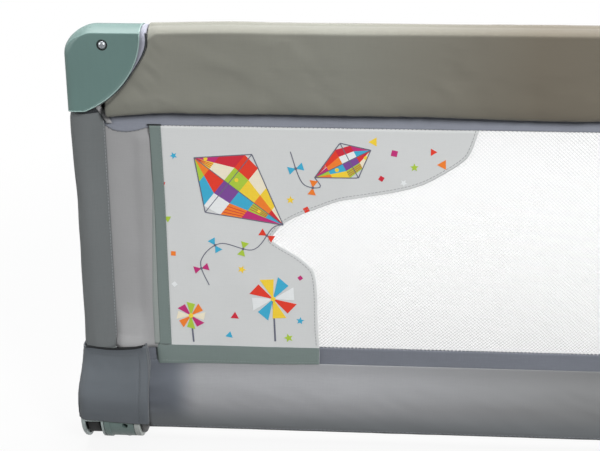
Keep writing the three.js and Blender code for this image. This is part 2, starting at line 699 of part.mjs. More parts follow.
// Net: a flat lattice of slanting strands, whose edge lies in the bindings
function windowNet() {
  const margin = BINDING_GRIP - CLEARANCE;
  const side = half_length - WINDOW_START;
  const width = 2 * side;
  const height = window_top - WINDOW_BOTTOM;
  const outline = rectangle(-side - margin, WINDOW_BOTTOM - margin, side + margin, window_top + margin);
  const columnPitch = width / NET_COLUMNS;
  const rowPitch = height / NET_ROWS;
  const slope = Math.hypot(columnPitch, rowPitch);
  const halfWide = columnPitch / 2 - (NET_STRAND * slope) / (2 * rowPitch);
  const halfHigh = rowPitch / 2 - (NET_STRAND * slope) / (2 * columnPitch);
  const holes = [];
  for (let i = 0; i <= 2 * NET_COLUMNS; i += 1) {
    for (let k = 0; k <= 2 * NET_ROWS; k += 1) {
      const onLattice = (i + k) % 2 === 0;
      const atSide = i === 0 || i === 2 * NET_COLUMNS;
      const atEnd = k === 0 || k === 2 * NET_ROWS;
      if (!onLattice || (atSide && atEnd)) continue;
      const x = -side + (i * columnPitch) / 2;
      const z = WINDOW_BOTTOM + (k * rowPitch) / 2;
      const corners = [
        point(x + halfWide, z),
        point(x, z + halfHigh),
        point(x - halfWide, z),
        point(x, z - halfHigh),
      ];
      if (i === 0) corners.splice(2, 1);
      if (i === 2 * NET_COLUMNS) corners.splice(0, 1);
      if (k === 0) corners.splice(3, 1);
      if (k === 2 * NET_ROWS) corners.splice(1, 1);
      holes.push(corners);
    }
  }
  const shapes = holes.map((hole) => new THREE.Shape(hole));
  const cutters = new THREE.ExtrudeGeometry(shapes, { depth: 2 * OVERRUN, bevelEnabled: false });
  cutters.applyMatrix4(FRAMES.y).translate(0, OVERRUN, 0);
  const plate = cut('y', outline, -NET_THICKNESS / 2, NET_THICKNESS / 2);
  return shapeOf(plate.subtract(solid(cutters)));
}

add('window_net', windowNet(), 'netFabric');

// Printed patch, sewn in front of the left side of the net
function printedPatch() {
  const left = PATCH_START - half_length;
  const top = window_top - CLEARANCE;
  const outline = PATCH_OUTLINE_SHARES.map(([across, down]) => (
    point(left + PATCH_WIDTH * across, top - patch_drop * down)
  ));
  const back = -half_binding - CLEARANCE;
  return prism('y', outline, back - PATCH_THICKNESS, back);
}

add('printed_patch', printedPatch(), 'patchFabric');

// Lower band: fabric hung round the lower tube, sewn together at its top, with its hem below
function lowerBand() {
  const top = band_top - CLEARANCE;
  const height = top - BAND_HEM_HEIGHT;
  const side = BAND_SIDE_SHARES.map(([y, z]) => point(BAND_HALF_DEPTH * y, BAND_HEM_HEIGHT + height * z));
  side[0].x = FABRIC + BAND_SEAM_GAP;
  const left = side.map((p) => point(-p.x, p.y));
  const line = [...left, point(0, BAND_HEM_HEIGHT), ...side.reverse()];
  const start = BAND_START - half_length;
  return prism('x', ribbon(line, FABRIC), start, -start);
}

add('lower_band', lowerBand(), 'greyFabric');

// Gear outline in (y, z) about the pivot. Its slot in the knuckle is the same outline, grown.
function gearOutline(grow) {
  const outline = [];
  for (let i = 0; i < GEAR_TEETH; i += 1) {
    GEAR_TOOTH_SHARES.forEach(([turn, rise]) => {
      const spread = rise === 1 ? grow / GEAR_TIP_RADIUS : grow / GEAR_ROOT_RADIUS;
      const pitch = (2 * HALF_TURN) / GEAR_TEETH;
      const angle = pitch * (i + turn) + Math.sign(turn) * spread;
      const radius = GEAR_ROOT_RADIUS + rise * (GEAR_TIP_RADIUS - GEAR_ROOT_RADIUS) + grow;
      outline.push(point(radius * Math.cos(angle), PIVOT_HEIGHT + radius * Math.sin(angle)));
    });
  }
  return outline;
}

function prongPlaces() {
  const places = [];
  for (let i = 0; i < PRONG_COUNT; i += 1) {
    const angle = HALF_TURN / 2 + (2 * HALF_TURN * i) / PRONG_COUNT;
    const rise = PRONG_CIRCLE_RADIUS * Math.sin(angle);
    places.push([PRONG_CIRCLE_RADIUS * Math.cos(angle), PIVOT_HEIGHT + rise]);
  }
  return places;
}

// Knuckle: a drum open at its lower front, a hub for the lower tube and a neck for the upright
const web_middle = WEB_START + WEB_WIDTH / 2;

function knuckle() {
  const edge = KNUCKLE_EDGE_RADIUS;
  const profile = [
    point(0, 0),
    ...arc(HINGE_RADIUS - edge, edge, edge, -HALF_TURN / 2, 0, 3),
    point(HINGE_RADIUS, KNUCKLE_WIDTH),
    point(0, KNUCKLE_WIDTH),
  ];
  const lathe = new THREE.LatheGeometry(profile, DRUM_SIDES);
  lathe.rotateZ(-HALF_TURN / 2);
  lathe.translate(0, 0, PIVOT_HEIGHT);
  const chamber_radius = HINGE_RADIUS - KNUCKLE_DRUM_WALL;
  const inner_wall = KNUCKLE_WIDTH - KNUCKLE_INNER_WALL;
  const deep = NECK_HALF_DEPTH;
  const neckOutline = roundedRectangle(NECK_START, -deep, NECK_END, deep, NECK_CORNER_RADIUS);
  const rootOutline = rectangle(NECK_START, -deep, KNUCKLE_WIDTH, deep);
  const neck_bottom = PIVOT_HEIGHT + HINGE_RADIUS + NECK_RISE;
  const half_disc = rectangle(-HINGE_RADIUS, KNUCKLE_WINDOW_TOP, HINGE_RADIUS, PIVOT_HEIGHT + HINGE_RADIUS);
  const window_box = rectangle(KNUCKLE_WINDOW_START, -HINGE_RADIUS, inner_wall, KNUCKLE_WINDOW_TOP);
  const neck_bore = FRAME_TUBE_RADIUS + CLEARANCE;
  const head_clear = SCREW_HEAD_RADIUS + CLEARANCE;
  const far = HINGE_RADIUS + OVERRUN;
  let body = solid(lathe)
    .subtract(drum(chamber_radius, KNUCKLE_OUTER_WALL, inner_wall))
    .subtract(cut('y', window_box, -HINGE_RADIUS - OVERRUN, 0))
    .add(drum(chamber_radius + WEB_SEAT, WEB_START, WEB_START + WEB_WIDTH)
      .intersect(cut('x', half_disc, 0, KNUCKLE_WIDTH)))
    .add(drum(axle_bore_radius + HUB_WALL, HUB_START, GEAR_START - CLEARANCE, TUBE_SIDES))
    .add(drum(GEAR_RING_RADIUS, GEAR_START, KNUCKLE_WIDTH))
    .add(cut('z', rootOutline, NECK_ROOT, neck_bottom + OVERRUN))
    .add(cut('z', neckOutline, neck_bottom, NECK_TOP))
    .subtract(cut('x', gearOutline(GEAR_CLEARANCE), GEAR_START - CLEARANCE, KNUCKLE_WIDTH + OVERRUN))
    .subtract(drum(axle_bore_radius, LOWER_TUBE_START - CLEARANCE, KNUCKLE_WIDTH, TUBE_SIDES))
    .subtract(drum(BUTTON_RADIUS + GEAR_CLEARANCE, -OVERRUN, HUB_START, TUBE_SIDES))
    .subtract(rod('z', neck_bore, UPRIGHT_CENTRE, 0, neck_bore_bottom, NECK_TOP + OVERRUN, TUBE_SIDES))
    .subtract(rod('y', screw_clear, UPRIGHT_CENTRE, NECK_SCREW_HEIGHT, 0, far))
    .subtract(rod('y', screw_clear, web_middle, PIVOT_HEIGHT, 0, far))
    .subtract(rod('y', head_clear, web_middle, PIVOT_HEIGHT, HINGE_RADIUS - SCREW_RECESS, far));
  prongPlaces().forEach(([y, z]) => {
    const prong_room = PRONG_RADIUS + GEAR_CLEARANCE;
    body = body.subtract(rod('x', prong_room, y, z, HUB_START - OVERRUN, KNUCKLE_WIDTH));
  });
  return shapeOf(body);
}

addPair('knuckle', knuckle(), 'tealPlastic');

// Screws that hold the two tubes in the knuckle, both from behind
function rearScrew(seat, tubeRadius, u, height) {
  const length = seat - tubeRadius + 2 * TUBE_WALL;
  const shape = screw(SCREW_HEAD_RADIUS, SCREW_HEAD_HEIGHT, SCREW_SHANK_RADIUS, length);
  return inPlace(shape, u, seat, height);
}

const neck_seat = NECK_HALF_DEPTH + CLEARANCE;
const drum_seat = HINGE_RADIUS - SCREW_RECESS + CLEARANCE;
const uprightScrew = rearScrew(neck_seat, FRAME_TUBE_RADIUS, UPRIGHT_CENTRE, NECK_SCREW_HEIGHT);
const axleScrew = rearScrew(drum_seat, AXLE_TUBE_RADIUS, web_middle, PIVOT_HEIGHT);
addPair('upright_screw', uprightScrew, 'zincScrew');
addPair('axle_screw', axleScrew, 'zincScrew');

// Base housing: a drum with a flange beside the knuckle, pockets for the lock and a flat foot
function baseHousing() {
  const half_foot = FOOT_WIDTH / 2;
  const foot = rectangle(LEG_PLACE - half_foot, -FOOT_FRONT, LEG_PLACE + half_foot, FOOT_REAR);
  const socket = LEG_TUBE_RADIUS + CLEARANCE;
  const head_clear = SCREW_HEAD_RADIUS + CLEARANCE;
  const front = -HINGE_RADIUS - OVERRUN;
  return shapeOf(drum(housing_radius, housing_start, housing_end)
    .add(drum(HINGE_RADIUS, housing_start, housing_start + FLANGE_WIDTH))
    .add(cut('z', foot, 0, FOOT_TOP))
    .subtract(drum(gear_pocket_radius, housing_start - OVERRUN, gear_pocket_end, TUBE_SIDES))
    .subtract(drum(SPRING_POCKET_RADIUS, gear_pocket_end - OVERRUN, BUSH_SLEEVE_START, TUBE_SIDES))
    .subtract(drum(bush_radius + CLEARANCE, BUSH_SLEEVE_START - OVERRUN, housing_end + OVERRUN, TUBE_SIDES))
    .subtract(rod('y', socket, LEG_PLACE, LEG_HEIGHT, -LEG_SOCKET_FRONT, LEG_REACH, TUBE_SIDES))
    .subtract(rod('y', BUSH_SCREW_HOLE_RADIUS, LEG_PLACE, BUSH_SCREW_HEIGHT, front, -BUSH_SCREW_SEAT))
    .subtract(rod('y', screw_clear, LEG_PLACE, BUSH_SCREW_HEIGHT, front, 0))
    .subtract(rod('z', screw_clear, LEG_PLACE, LEG_SCREW_PLACE, -OVERRUN, LEG_HEIGHT))
    .subtract(rod('z', head_clear, LEG_PLACE, LEG_SCREW_PLACE, -OVERRUN, SCREW_RECESS)));
}

addPair('base_housing', baseHousing(), 'tealPlastic');

// Bearing bush with its light flange on the housing's inner end, and the collar that keeps it there
const bushBody = drum(housing_radius, bush_flange_start, bush_flange_end)
  .add(drum(bush_radius, BUSH_SLEEVE_START, bush_flange_end, TUBE_SIDES))
  .subtract(drum(axle_bore_radius, BUSH_SLEEVE_START - OVERRUN, bush_flange_end + OVERRUN, TUBE_SIDES));
addPair('bearing_bush', shapeOf(bushBody), 'lightPlastic');

const endCollar = prism(
  'x',
  circle(COLLAR_RADIUS, 0, PIVOT_HEIGHT, DRUM_SIDES),
  collar_start,
  collar_start + COLLAR_WIDTH,
  [circle(axle_bore_radius, 0, PIVOT_HEIGHT, TUBE_SIDES)],
);
addPair('end_collar', endCollar, 'blackPlastic');

// Bush screw, sunk in the front hole, with its tip on the bush's sleeve
function bushScrew() {
  const drop = PIVOT_HEIGHT - BUSH_SCREW_HEIGHT + SCREW_SHANK_RADIUS;
  const seat = BUSH_SCREW_SEAT + CLEARANCE;
  const tip = Math.sqrt(bush_radius ** 2 - (drop - 2 * SCREW_SHANK_RADIUS) ** 2) + CLEARANCE;
  const shape = screw(BUSH_SCREW_HEAD_RADIUS, SCREW_HEAD_HEIGHT, SCREW_SHANK_RADIUS, seat - tip);
  shape.rotateZ(HALF_TURN);
  return inPlace(shape, LEG_PLACE, -seat, BUSH_SCREW_HEIGHT);
}

addPair('bush_screw', bushScrew(), 'zincScrew');

// Leg: tube, the screw up through the foot, and the end cap with its flat underside
function legTube() {
  const end = LEG_REACH - LEG_CAP_END_WALL - CLEARANCE;
  const bar = solid(pipe('y', LEG_TUBE_RADIUS, LEG_PLACE, LEG_HEIGHT, CLEARANCE - LEG_SOCKET_FRONT, end));
  return shapeOf(bar.subtract(rod('z', screw_clear, LEG_PLACE, LEG_SCREW_PLACE, 0, LEG_HEIGHT)));
}

function legScrew() {
  const seat = SCREW_RECESS - CLEARANCE;
  const length = LEG_HEIGHT - LEG_TUBE_RADIUS + 2 * TUBE_WALL - seat;
  const shape = screw(SCREW_HEAD_RADIUS, SCREW_HEAD_HEIGHT - CLEARANCE, SCREW_SHANK_RADIUS, length);
  shape.rotateX(-HALF_TURN / 2);
  return inPlace(shape, LEG_PLACE, LEG_SCREW_PLACE, seat);
}

function legEndCap() {
  const left = LEG_PLACE - LEG_CAP_HALF_WIDTH;
  const right = LEG_PLACE + LEG_CAP_HALF_WIDTH;
  const outline = roundedRectangle(left, 0, right, 2 * LEG_HEIGHT, LEG_CAP_CORNER_RADIUS, 3);
  const bore = circle(LEG_TUBE_RADIUS + CLEARANCE, LEG_PLACE, LEG_HEIGHT, TUBE_SIDES);
  const block = cut('y', outline, LEG_REACH - LEG_CAP_LENGTH, LEG_REACH);
  return shapeOf(block.subtract(cut('y', bore, 0, LEG_REACH - LEG_CAP_END_WALL)));
}

addPair('leg_tube', legTube(), 'steelTube');
addPair('leg_screw', legScrew(), 'zincScrew');
addPair('leg_end_cap', legEndCap(), 'blackPlastic');

// Lock gear, its spring and the button whose prongs push it clear of the knuckle
const gearBore = circle(GEAR_BORE_RADIUS, 0, PIVOT_HEIGHT, TUBE_SIDES);
const gear = prism('x', gearOutline(0), GEAR_START, gear_end, [gearBore]);
addPair('lock_gear', gear, 'blackPlastic');

function lockSpring() {
  const start = gear_end + CLEARANCE + SPRING_WIRE_RADIUS;
  const end = BUSH_SLEEVE_START - CLEARANCE - SPRING_WIRE_RADIUS;
  const points = [];
  const steps = SPRING_TURNS * SPRING_STEPS_PER_TURN;
  for (let i = 0; i <= steps; i += 1) {
    const angle = (2 * HALF_TURN * i) / SPRING_STEPS_PER_TURN;
    points.push(new THREE.Vector3(
      start + ((end - start) * i) / steps,
      SPRING_RADIUS * Math.cos(angle),
      PIVOT_HEIGHT + SPRING_RADIUS * Math.sin(angle),
    ));
  }
  const wire = new THREE.Shape(circle(SPRING_WIRE_RADIUS, 0, 0, SPRING_WIRE_SIDES));
  return new THREE.ExtrudeGeometry(wire, { steps, extrudePath: new THREE.CatmullRomCurve3(points) });
}

addPair('lock_spring', lockSpring(), 'zincScrew');

function releaseButton() {
  const profile = [
    point(0, CLEARANCE),
    point(BUTTON_RADIUS - BUTTON_DOME, CLEARANCE),
    point(BUTTON_RADIUS, CLEARANCE + BUTTON_DOME),
    point(BUTTON_RADIUS, CLEARANCE + BUTTON_THICKNESS),
    point(0, CLEARANCE + BUTTON_THICKNESS),
  ];
  const disc = new THREE.LatheGeometry(profile, TUBE_SIDES);
  disc.rotateZ(-HALF_TURN / 2);
  disc.translate(0, 0, PIVOT_HEIGHT);
  let body = solid(disc);
  prongPlaces().forEach(([y, z]) => {
    body = body.add(rod('x', PRONG_RADIUS, y, z, BUTTON_THICKNESS / 2, GEAR_START - CLEARANCE));
  });
  return shapeOf(body);
}

addPair('release_button', releaseButton(), 'blackPlastic');

// Cuff: fabric round the front, the outer side and part of the back of the hinge
function hingeCuff() {
  const quarter = HALF_TURN / 2;
  const loops = CUFF_HEIGHT_SHARES.map((share, i) => {
    const height = CUFF_BOTTOM + (CUFF_TOP - CUFF_BOTTOM) * share;
    const front = CUFF_DEPTHS[i] + CUFF_CLEARANCE + FABRIC;
    const outer = CUFF_TOP_OUTSET * CUFF_OUTSET_SHARES[i] - CUFF_CLEARANCE - FABRIC;
    const corner = CUFF_CORNER_RADIUS;
    const line = [
      point(CUFF_BACK_END, front),
      ...arc(outer + corner, front - corner, corner, quarter, 2 * quarter, 3),
      ...arc(outer + corner, corner - front, corner, 2 * quarter, 3 * quarter, 3),
      point(CUFF_END, -front),
    ];
    return ribbon(line, FABRIC).map((p) => new THREE.Vector3(p.x, p.y, height));
  });
  return loft(loops, (p) => point(p.x, p.y));
}

addPair('hinge_cuff', hingeCuff(), 'cuffFabric');

export default rail;
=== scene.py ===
import json
import math
import random
import bmesh
import bpy
from mathutils import Matrix, Vector, noise

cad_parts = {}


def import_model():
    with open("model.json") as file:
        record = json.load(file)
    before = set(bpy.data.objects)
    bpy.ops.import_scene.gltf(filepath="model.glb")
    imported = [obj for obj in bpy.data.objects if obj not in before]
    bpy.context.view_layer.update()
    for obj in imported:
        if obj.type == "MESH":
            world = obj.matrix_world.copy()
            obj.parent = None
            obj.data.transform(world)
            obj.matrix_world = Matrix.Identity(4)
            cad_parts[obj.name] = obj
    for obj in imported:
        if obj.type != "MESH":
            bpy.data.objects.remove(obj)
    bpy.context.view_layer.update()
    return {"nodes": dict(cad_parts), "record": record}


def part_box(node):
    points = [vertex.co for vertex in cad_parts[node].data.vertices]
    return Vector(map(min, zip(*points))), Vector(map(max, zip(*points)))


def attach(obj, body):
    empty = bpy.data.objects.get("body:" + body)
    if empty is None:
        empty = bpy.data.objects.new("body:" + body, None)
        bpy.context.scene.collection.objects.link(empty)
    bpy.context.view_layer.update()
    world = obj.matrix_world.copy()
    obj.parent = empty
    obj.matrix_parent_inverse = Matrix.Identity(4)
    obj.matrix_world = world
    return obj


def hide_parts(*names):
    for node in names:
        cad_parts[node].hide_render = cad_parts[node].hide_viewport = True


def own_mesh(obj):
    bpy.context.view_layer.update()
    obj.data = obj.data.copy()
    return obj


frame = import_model()

# Sizes are millimetres until they are placed. Each end is modelled in u, the distance inward
# from the knuckle's outer face, with y from the panel's plane, as in the frame's own source.
MM = 0.001
TURN = 2 * math.pi
QUARTER = math.pi / 2
HALF = -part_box("left_knuckle")[0].x
PANEL_Y = sum(corner.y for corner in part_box("window_net")) / 2
HALF_MM = HALF / MM
RAIL_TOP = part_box("left_corner_front_shell")[1].z / MM
PIVOT = 38
SIDES = {"left": -1, "right": 1}
SHARP = 32

# Camera, as the photograph was taken: its yaw, pitch and roll are in degrees
CAMERA_PLACE = (-0.186, -1.2242, 0.622)
CAMERA_TURN = (3.24, 19.81, 0.11)
CAMERA_LENS = 66


def link(name, data):
    obj = bpy.data.objects.new(name, data)
    bpy.context.collection.objects.link(obj)
    return obj


def make_camera():
    yaw, pitch, roll = (math.radians(angle) for angle in CAMERA_TURN)
    level = math.cos(pitch)
    forward = Vector((-math.sin(yaw) * level, math.cos(yaw) * level, -math.sin(pitch)))
    right = Vector((math.cos(yaw), math.sin(yaw), 0))
    up = right.cross(forward)
    across = math.cos(roll) * right + math.sin(roll) * up
    upward = math.cos(roll) * up - math.sin(roll) * right
    data = bpy.data.cameras.new("camera")
    data.sensor_width = 36
    data.lens = CAMERA_LENS
    camera = link("camera", data)
    facing = Matrix((across, upward, -forward)).transposed().to_4x4()
    camera.matrix_world = Matrix.Translation(CAMERA_PLACE) @ facing
    bpy.context.scene.camera = camera


make_camera()


# Small sums
def mix(a, b, share):
    return a + (b - a) * share


def shares(count):
    """Even shares from 0 to 1."""
    return [k / count for k in range(count + 1)]


def smooth(value, low, high):
    share = min(max((value - low) / (high - low), 0), 1)
    return share * share * (3 - 2 * share)


def hill(value, centre, width):
    return math.exp(-((value - centre) / width) ** 2)


def soft(x, y, z, seed):
    return noise.noise(Vector((x + 17.3 * seed, y - 5.1 * seed, z + 9.7 * seed)))


def spline(points, steps):
    """Points along a smooth line through the given ones, steps of them to each stretch."""
    made = []
    last = len(points) - 1
    for i in range(last):
        near = [points[min(max(i + k, 0), last)] for k in (-1, 0, 1, 2)]
        for t in shares(steps)[:-1]:
            made.append(tuple(
                0.5 * (2 * b + (c - a) * t + (2 * a - 5 * b + 4 * c - d) * t * t
                       + (3 * b - a - 3 * c + d) * t ** 3)
                for a, b, c, d in zip(*near)))
    made.append(tuple(points[-1]))
    return made


def resample(path, step):
    """Points a step apart along a path, with both its ends."""
    spots = [Vector(p) for p in path]
    lengths = [0]
    for a, b in zip(spots, spots[1:]):
        lengths.append(lengths[-1] + (b - a).length)
    count = max(1, round(lengths[-1] / step))
    made = []
    k = 0
    for i in range(count + 1):
        at = lengths[-1] * i / count
        while k < len(lengths) - 2 and lengths[k + 1] < at:
            k += 1
        span = lengths[k + 1] - lengths[k]
        made.append(spots[k].lerp(spots[k + 1], (at - lengths[k]) / span if span else 0))
    return made


def heading(line, i):
    """The way of a line at one of its points."""
    return line[min(i + 1, len(line) - 1)] - line[max(i - 1, 0)]


def beside(way):
    """A way in a plane, turned to its right."""
    return Vector((way.y, -way.x))


def straight_value(table, at):
    """A value from a table of (place, value), with straight lines between its rows."""
    for (a, low), (b, high) in zip(table, table[1:]):
        if at <= b:
            return mix(low, high, (max(at, a) - a) / (b - a))
    return table[-1][1]


def curve_value(table, at):
    """A value from a table of (place, value), on one smooth curve through its rows."""
    at = min(max(at, table[0][0]), table[-1][0])
    slopes = []
    for i in range(len(table)):
        (a, low), (b, high) = table[max(i - 1, 0)], table[min(i + 1, len(table) - 1)]
        slopes.append((high - low) / (b - a))
    for i in range(len(table) - 1):
        (a, low), (b, high) = table[i], table[i + 1]
        if at <= b:
            t, span = (at - a) / (b - a), b - a
            return ((2 * t ** 3 - 3 * t * t + 1) * low + (t ** 3 - 2 * t * t + t) * span * slopes[i]
                    + (3 * t * t - 2 * t ** 3) * high + (t ** 3 - t * t) * span * slopes[i + 1])
    return table[-1][1]


def grid(rows, columns, place, *more):
    """Rows of points, from a function of the shares down and across."""
    return [[place(down, across, *more) for across in shares(columns)] for down in shares(rows)]


def ring(radius, a, b, count):
    angles = [TURN * (i + 0.5) / count for i in range(count)]
    return [(a + radius * math.cos(angle), b + radius * math.sin(angle)) for angle in angles]


def rounded(profile, radius, steps=3):
    """A closed outline with its corners rounded."""
    made = []
    for i, corner in enumerate(profile):
        here = Vector(corner)
        to_last = Vector(profile[i - 1]) - here
        to_next = Vector(profile[(i + 1) % len(profile)]) - here
        reach = min(radius, to_last.length * 0.45, to_next.length * 0.45)
        a = here + to_last.normalized() * reach
        b = here + to_next.normalized() * reach
        made += [tuple(a.lerp(here, t).lerp(here.lerp(b, t), t)) for t in shares(steps)]
    return made


# Meshes
def world(side, u, y, z):
    x = side * (HALF - u * MM) if side else u * MM
    return (x, PANEL_Y + y * MM, z * MM)


def shade(obj, sharp=None):
    obj.data.polygons.foreach_set("use_smooth", [True] * len(obj.data.polygons))
    if sharp:
        obj.data.set_sharp_from_angle(angle=math.radians(sharp))


def outward(obj):
    work = bmesh.new()
    work.from_mesh(obj.data)
    bmesh.ops.recalc_face_normals(work, faces=work.faces)
    work.to_mesh(obj.data)
    work.free()


def make(name, points, faces, side=0, sharp=None, solid=True):
    mesh = bpy.data.meshes.new(name)
    if side > 0:
        faces = [tuple(reversed(face)) for face in faces]
    mesh.from_pydata([world(side, *p) for p in points], [], faces)
    mesh.update()
    obj = link(name, mesh)
    shade(obj, sharp)
    if solid:
        outward(obj)
    return obj


def sheet_faces(rows, columns, closed=False, start=0, ends=False):
    """Faces between rows of points, with both open ends of a tube closed where that is asked."""
    faces = []
    for r in range(rows - 1):
        for c in range(columns if closed else columns - 1):
            a = start + r * columns + c
            b = start + r * columns + (c + 1) % columns
            faces.append((a, b, b + columns, a + columns))
    if ends:
        last = start + (rows - 1) * columns
        faces.append(tuple(reversed(range(start, start + columns))))
        faces.append(tuple(range(last, last + columns)))
    return faces


def loft(name, loops, side=0, sharp=None):
    """A closed solid through loops of points."""
    faces = sheet_faces(len(loops), len(loops[0]), True, 0, True)
    return make(name, [p for loop in loops for p in loop], faces, side, sharp)


def prism(name, axis, outline, low, high, side):
    """A straight solid along one axis."""
    at = "uyz".index(axis)
    return loft(name, [[p[:at] + (level,) + p[at:] for p in outline] for level in (low, high)],
                side, SHARP)


def turned(name, profile, side, sides=64, axis=None):
    """A solid turned about the axle, from a closed loop of (u, radius). With an axis along y, at
    a place (u, z), the loop is of (radius, y)."""
    count = len(profile)
    points, faces = [], []
    for i in range(sides):
        c, s = math.cos(TURN * i / sides), math.sin(TURN * i / sides)
        after = (i + 1) % sides
        for k, (a, b) in enumerate(profile):
            points.append((axis[0] + a * c, b, axis[1] + a * s) if axis
                          else (a, b * c, PIVOT + b * s))
            following = (k + 1) % count
            faces.append((i * count + k, i * count + following,
                          after * count + following, after * count + k))
    return make(name, points, faces, side, SHARP)


def tubes(name, paths, radius, sides, side, ends):
    """Round threads along paths, drawn in at their ends."""
    points, faces = [], []
    for path in paths:
        spots = [Vector(p) for p in path]
        start = len(points)
        for i, spot in enumerate(spots):
            along = heading(spots, i).normalized()
            level = Vector((0, 1, 0)) if abs(along.y) < 0.8 else Vector((0, 0, 1))
            across = along.cross(level).normalized()
            up = across.cross(along)
            width = radius * (ends if i in (0, len(spots) - 1) else 1)
            for angle in (TURN * k / sides for k in range(sides)):
                points.append(tuple(spot + across * width * math.cos(angle)
                                    + up * width * math.sin(angle)))
        faces += sheet_faces(len(spots), sides, True, start, True)
    return make(name, points, faces, side)


def stitch_paths(lines, length=2.4, gap=1.2):
    """Stitches that follow lines on a surface, each a short thread with its ends let in."""
    made = []
    for spots in (resample(line, (length + gap) / 4) for line in lines):
        for i in range(0, len(spots) - 3, 4):
            a, m, n, b = spots[i:i + 4]
            made.append([a, a.lerp(m, 0.4), m.lerp(n, 0.5), n.lerp(b, 0.6), b])
    return made


def freeze(obj, sharp=None):
    """Makes what the modifiers give the object's own mesh."""
    graph = bpy.context.evaluated_depsgraph_get()
    mesh = bpy.data.meshes.new_from_object(obj.evaluated_get(graph))
    obj.modifiers.clear()
    obj.data = mesh
    outward(obj)
    shade(obj, sharp)
    return obj


def modify(obj, kind, sharp=None, **settings):
    change = obj.modifiers.new("change", kind)
    for key, value in settings.items():
        setattr(change, key, value)
    return freeze(obj, sharp)


def cut(obj, other, operation="DIFFERENCE"):
    modify(obj, "BOOLEAN", SHARP, operation=operation, object=other, solver="EXACT")
    bpy.data.objects.remove(other)


# Finishes
def linear(colour, factor=1.0):
    def one(value):
        value /= 255
        return value / 12.92 if value <= 0.04045 else ((value + 0.055) / 1.055) ** 2.4
    return tuple(min(1, one(value) * factor) for value in colour) + (1,)


class Nodes:
    """A small helper that adds nodes to one material or world."""

    def __init__(self, owner):
        owner.use_nodes = True
        self.tree = owner.node_tree
        self.tree.nodes.clear()

    def add(self, kind, inputs=None, **settings):
        made = self.tree.nodes.new("ShaderNode" + kind)
        for key, value in settings.items():
            setattr(made, key, value)
        for key, value in (inputs or {}).items():
            if isinstance(value, bpy.types.NodeSocket):
                self.tree.links.new(value, made.inputs[key])
            else:
                made.inputs[key].default_value = value
        return made

    def math(self, operation, a, b=0.0):
        return self.add("Math", {0: a, 1: b}, operation=operation).outputs[0]

    def ranged(self, source, low, high, start=0.0, end=1.0, kind="LINEAR"):
        return self.add("MapRange", {0: source, 1: low, 2: high, 3: start, 4: end},
                        interpolation_type=kind).outputs[0]

    def around(self, source, middle, below, above):
        """A roughness that follows a cloud."""
        return self.ranged(source, 0.25, 0.75, middle - below, middle + above)

    def seen(self):
        """One where the camera sees a place, also in a gloss or through something clear."""
        rays = self.add("LightPath").outputs
        either = self.math("MAXIMUM", rays["Is Camera Ray"], rays["Is Glossy Ray"])
        return self.math("MAXIMUM", either, rays["Is Transmission Ray"])


class Finish(Nodes):
    """One material's nodes."""

    def __init__(self, name):
        self.material = bpy.data.materials.new(name)
        super().__init__(self.material)
        self.place = self.add("TexCoord").outputs["Object"]

    def along(self, axis):
        return self.add("SeparateXYZ", {0: self.place}).outputs[axis]

    def weighed(self, *parts):
        """The sum of some values, each times its own weight."""
        terms = [self.math("MULTIPLY", source, weight) for source, weight in parts]
        total = terms[0]
        for term in terms[1:]:
            total = self.math("ADD", total, term)
        return total

    def cloud(self, sizes, detail=2.0, rough=0.5):
        """Noise whose grains have a size in millimetres along each axis."""
        shrink = tuple(1 / (size * MM) for size in sizes)
        spot = self.add("VectorMath", {0: self.place, 1: shrink}, operation="MULTIPLY").outputs[0]
        return self.add("TexNoise", {"Vector": spot, "Scale": 1.0, "Detail": detail,
                                     "Roughness": rough}).outputs[0]

    def wave(self, direction, length):
        across = self.add("VectorMath", {0: self.place, 1: direction},
                          operation="DOT_PRODUCT").outputs[1]
        return self.math("SINE", self.math("MULTIPLY", across, TURN / (length * MM)))

    def ramp(self, share, stops):
        made = self.add("ValToRGB", {0: share})
        ladder = made.color_ramp.elements
        while len(ladder) < len(stops):
            ladder.new(0.5)
        for element, (at, colour) in zip(ladder, stops):
            element.position = at
            element.color = colour
        return made.outputs[0]

    def shades(self, share, colour, spread, reach):
        """A colour that turns darker and lighter about its middle."""
        return self.ramp(share, [(0.5 + way * reach, linear(colour, 1 + way * spread))
                                 for way in (-1, 0, 1)])

    def blend(self, share, one, other):
        return self.add("Mix", {0: share, 6: one, 7: other}, data_type="RGBA").outputs[2]

    def surface(self, colour, rough, bump, depth, strength, **settings):
        normal = self.add("Bump", {"Height": bump, "Strength": strength, "Distance": depth * MM})
        shader = self.add("BsdfPrincipled", {"Base Color": colour, "Roughness": rough,
                                             "Normal": normal.outputs[0], **settings})
        self.close(shader)
        return self.material

    def close(self, shader):
        self.add("OutputMaterial", {0: shader.outputs[0]})


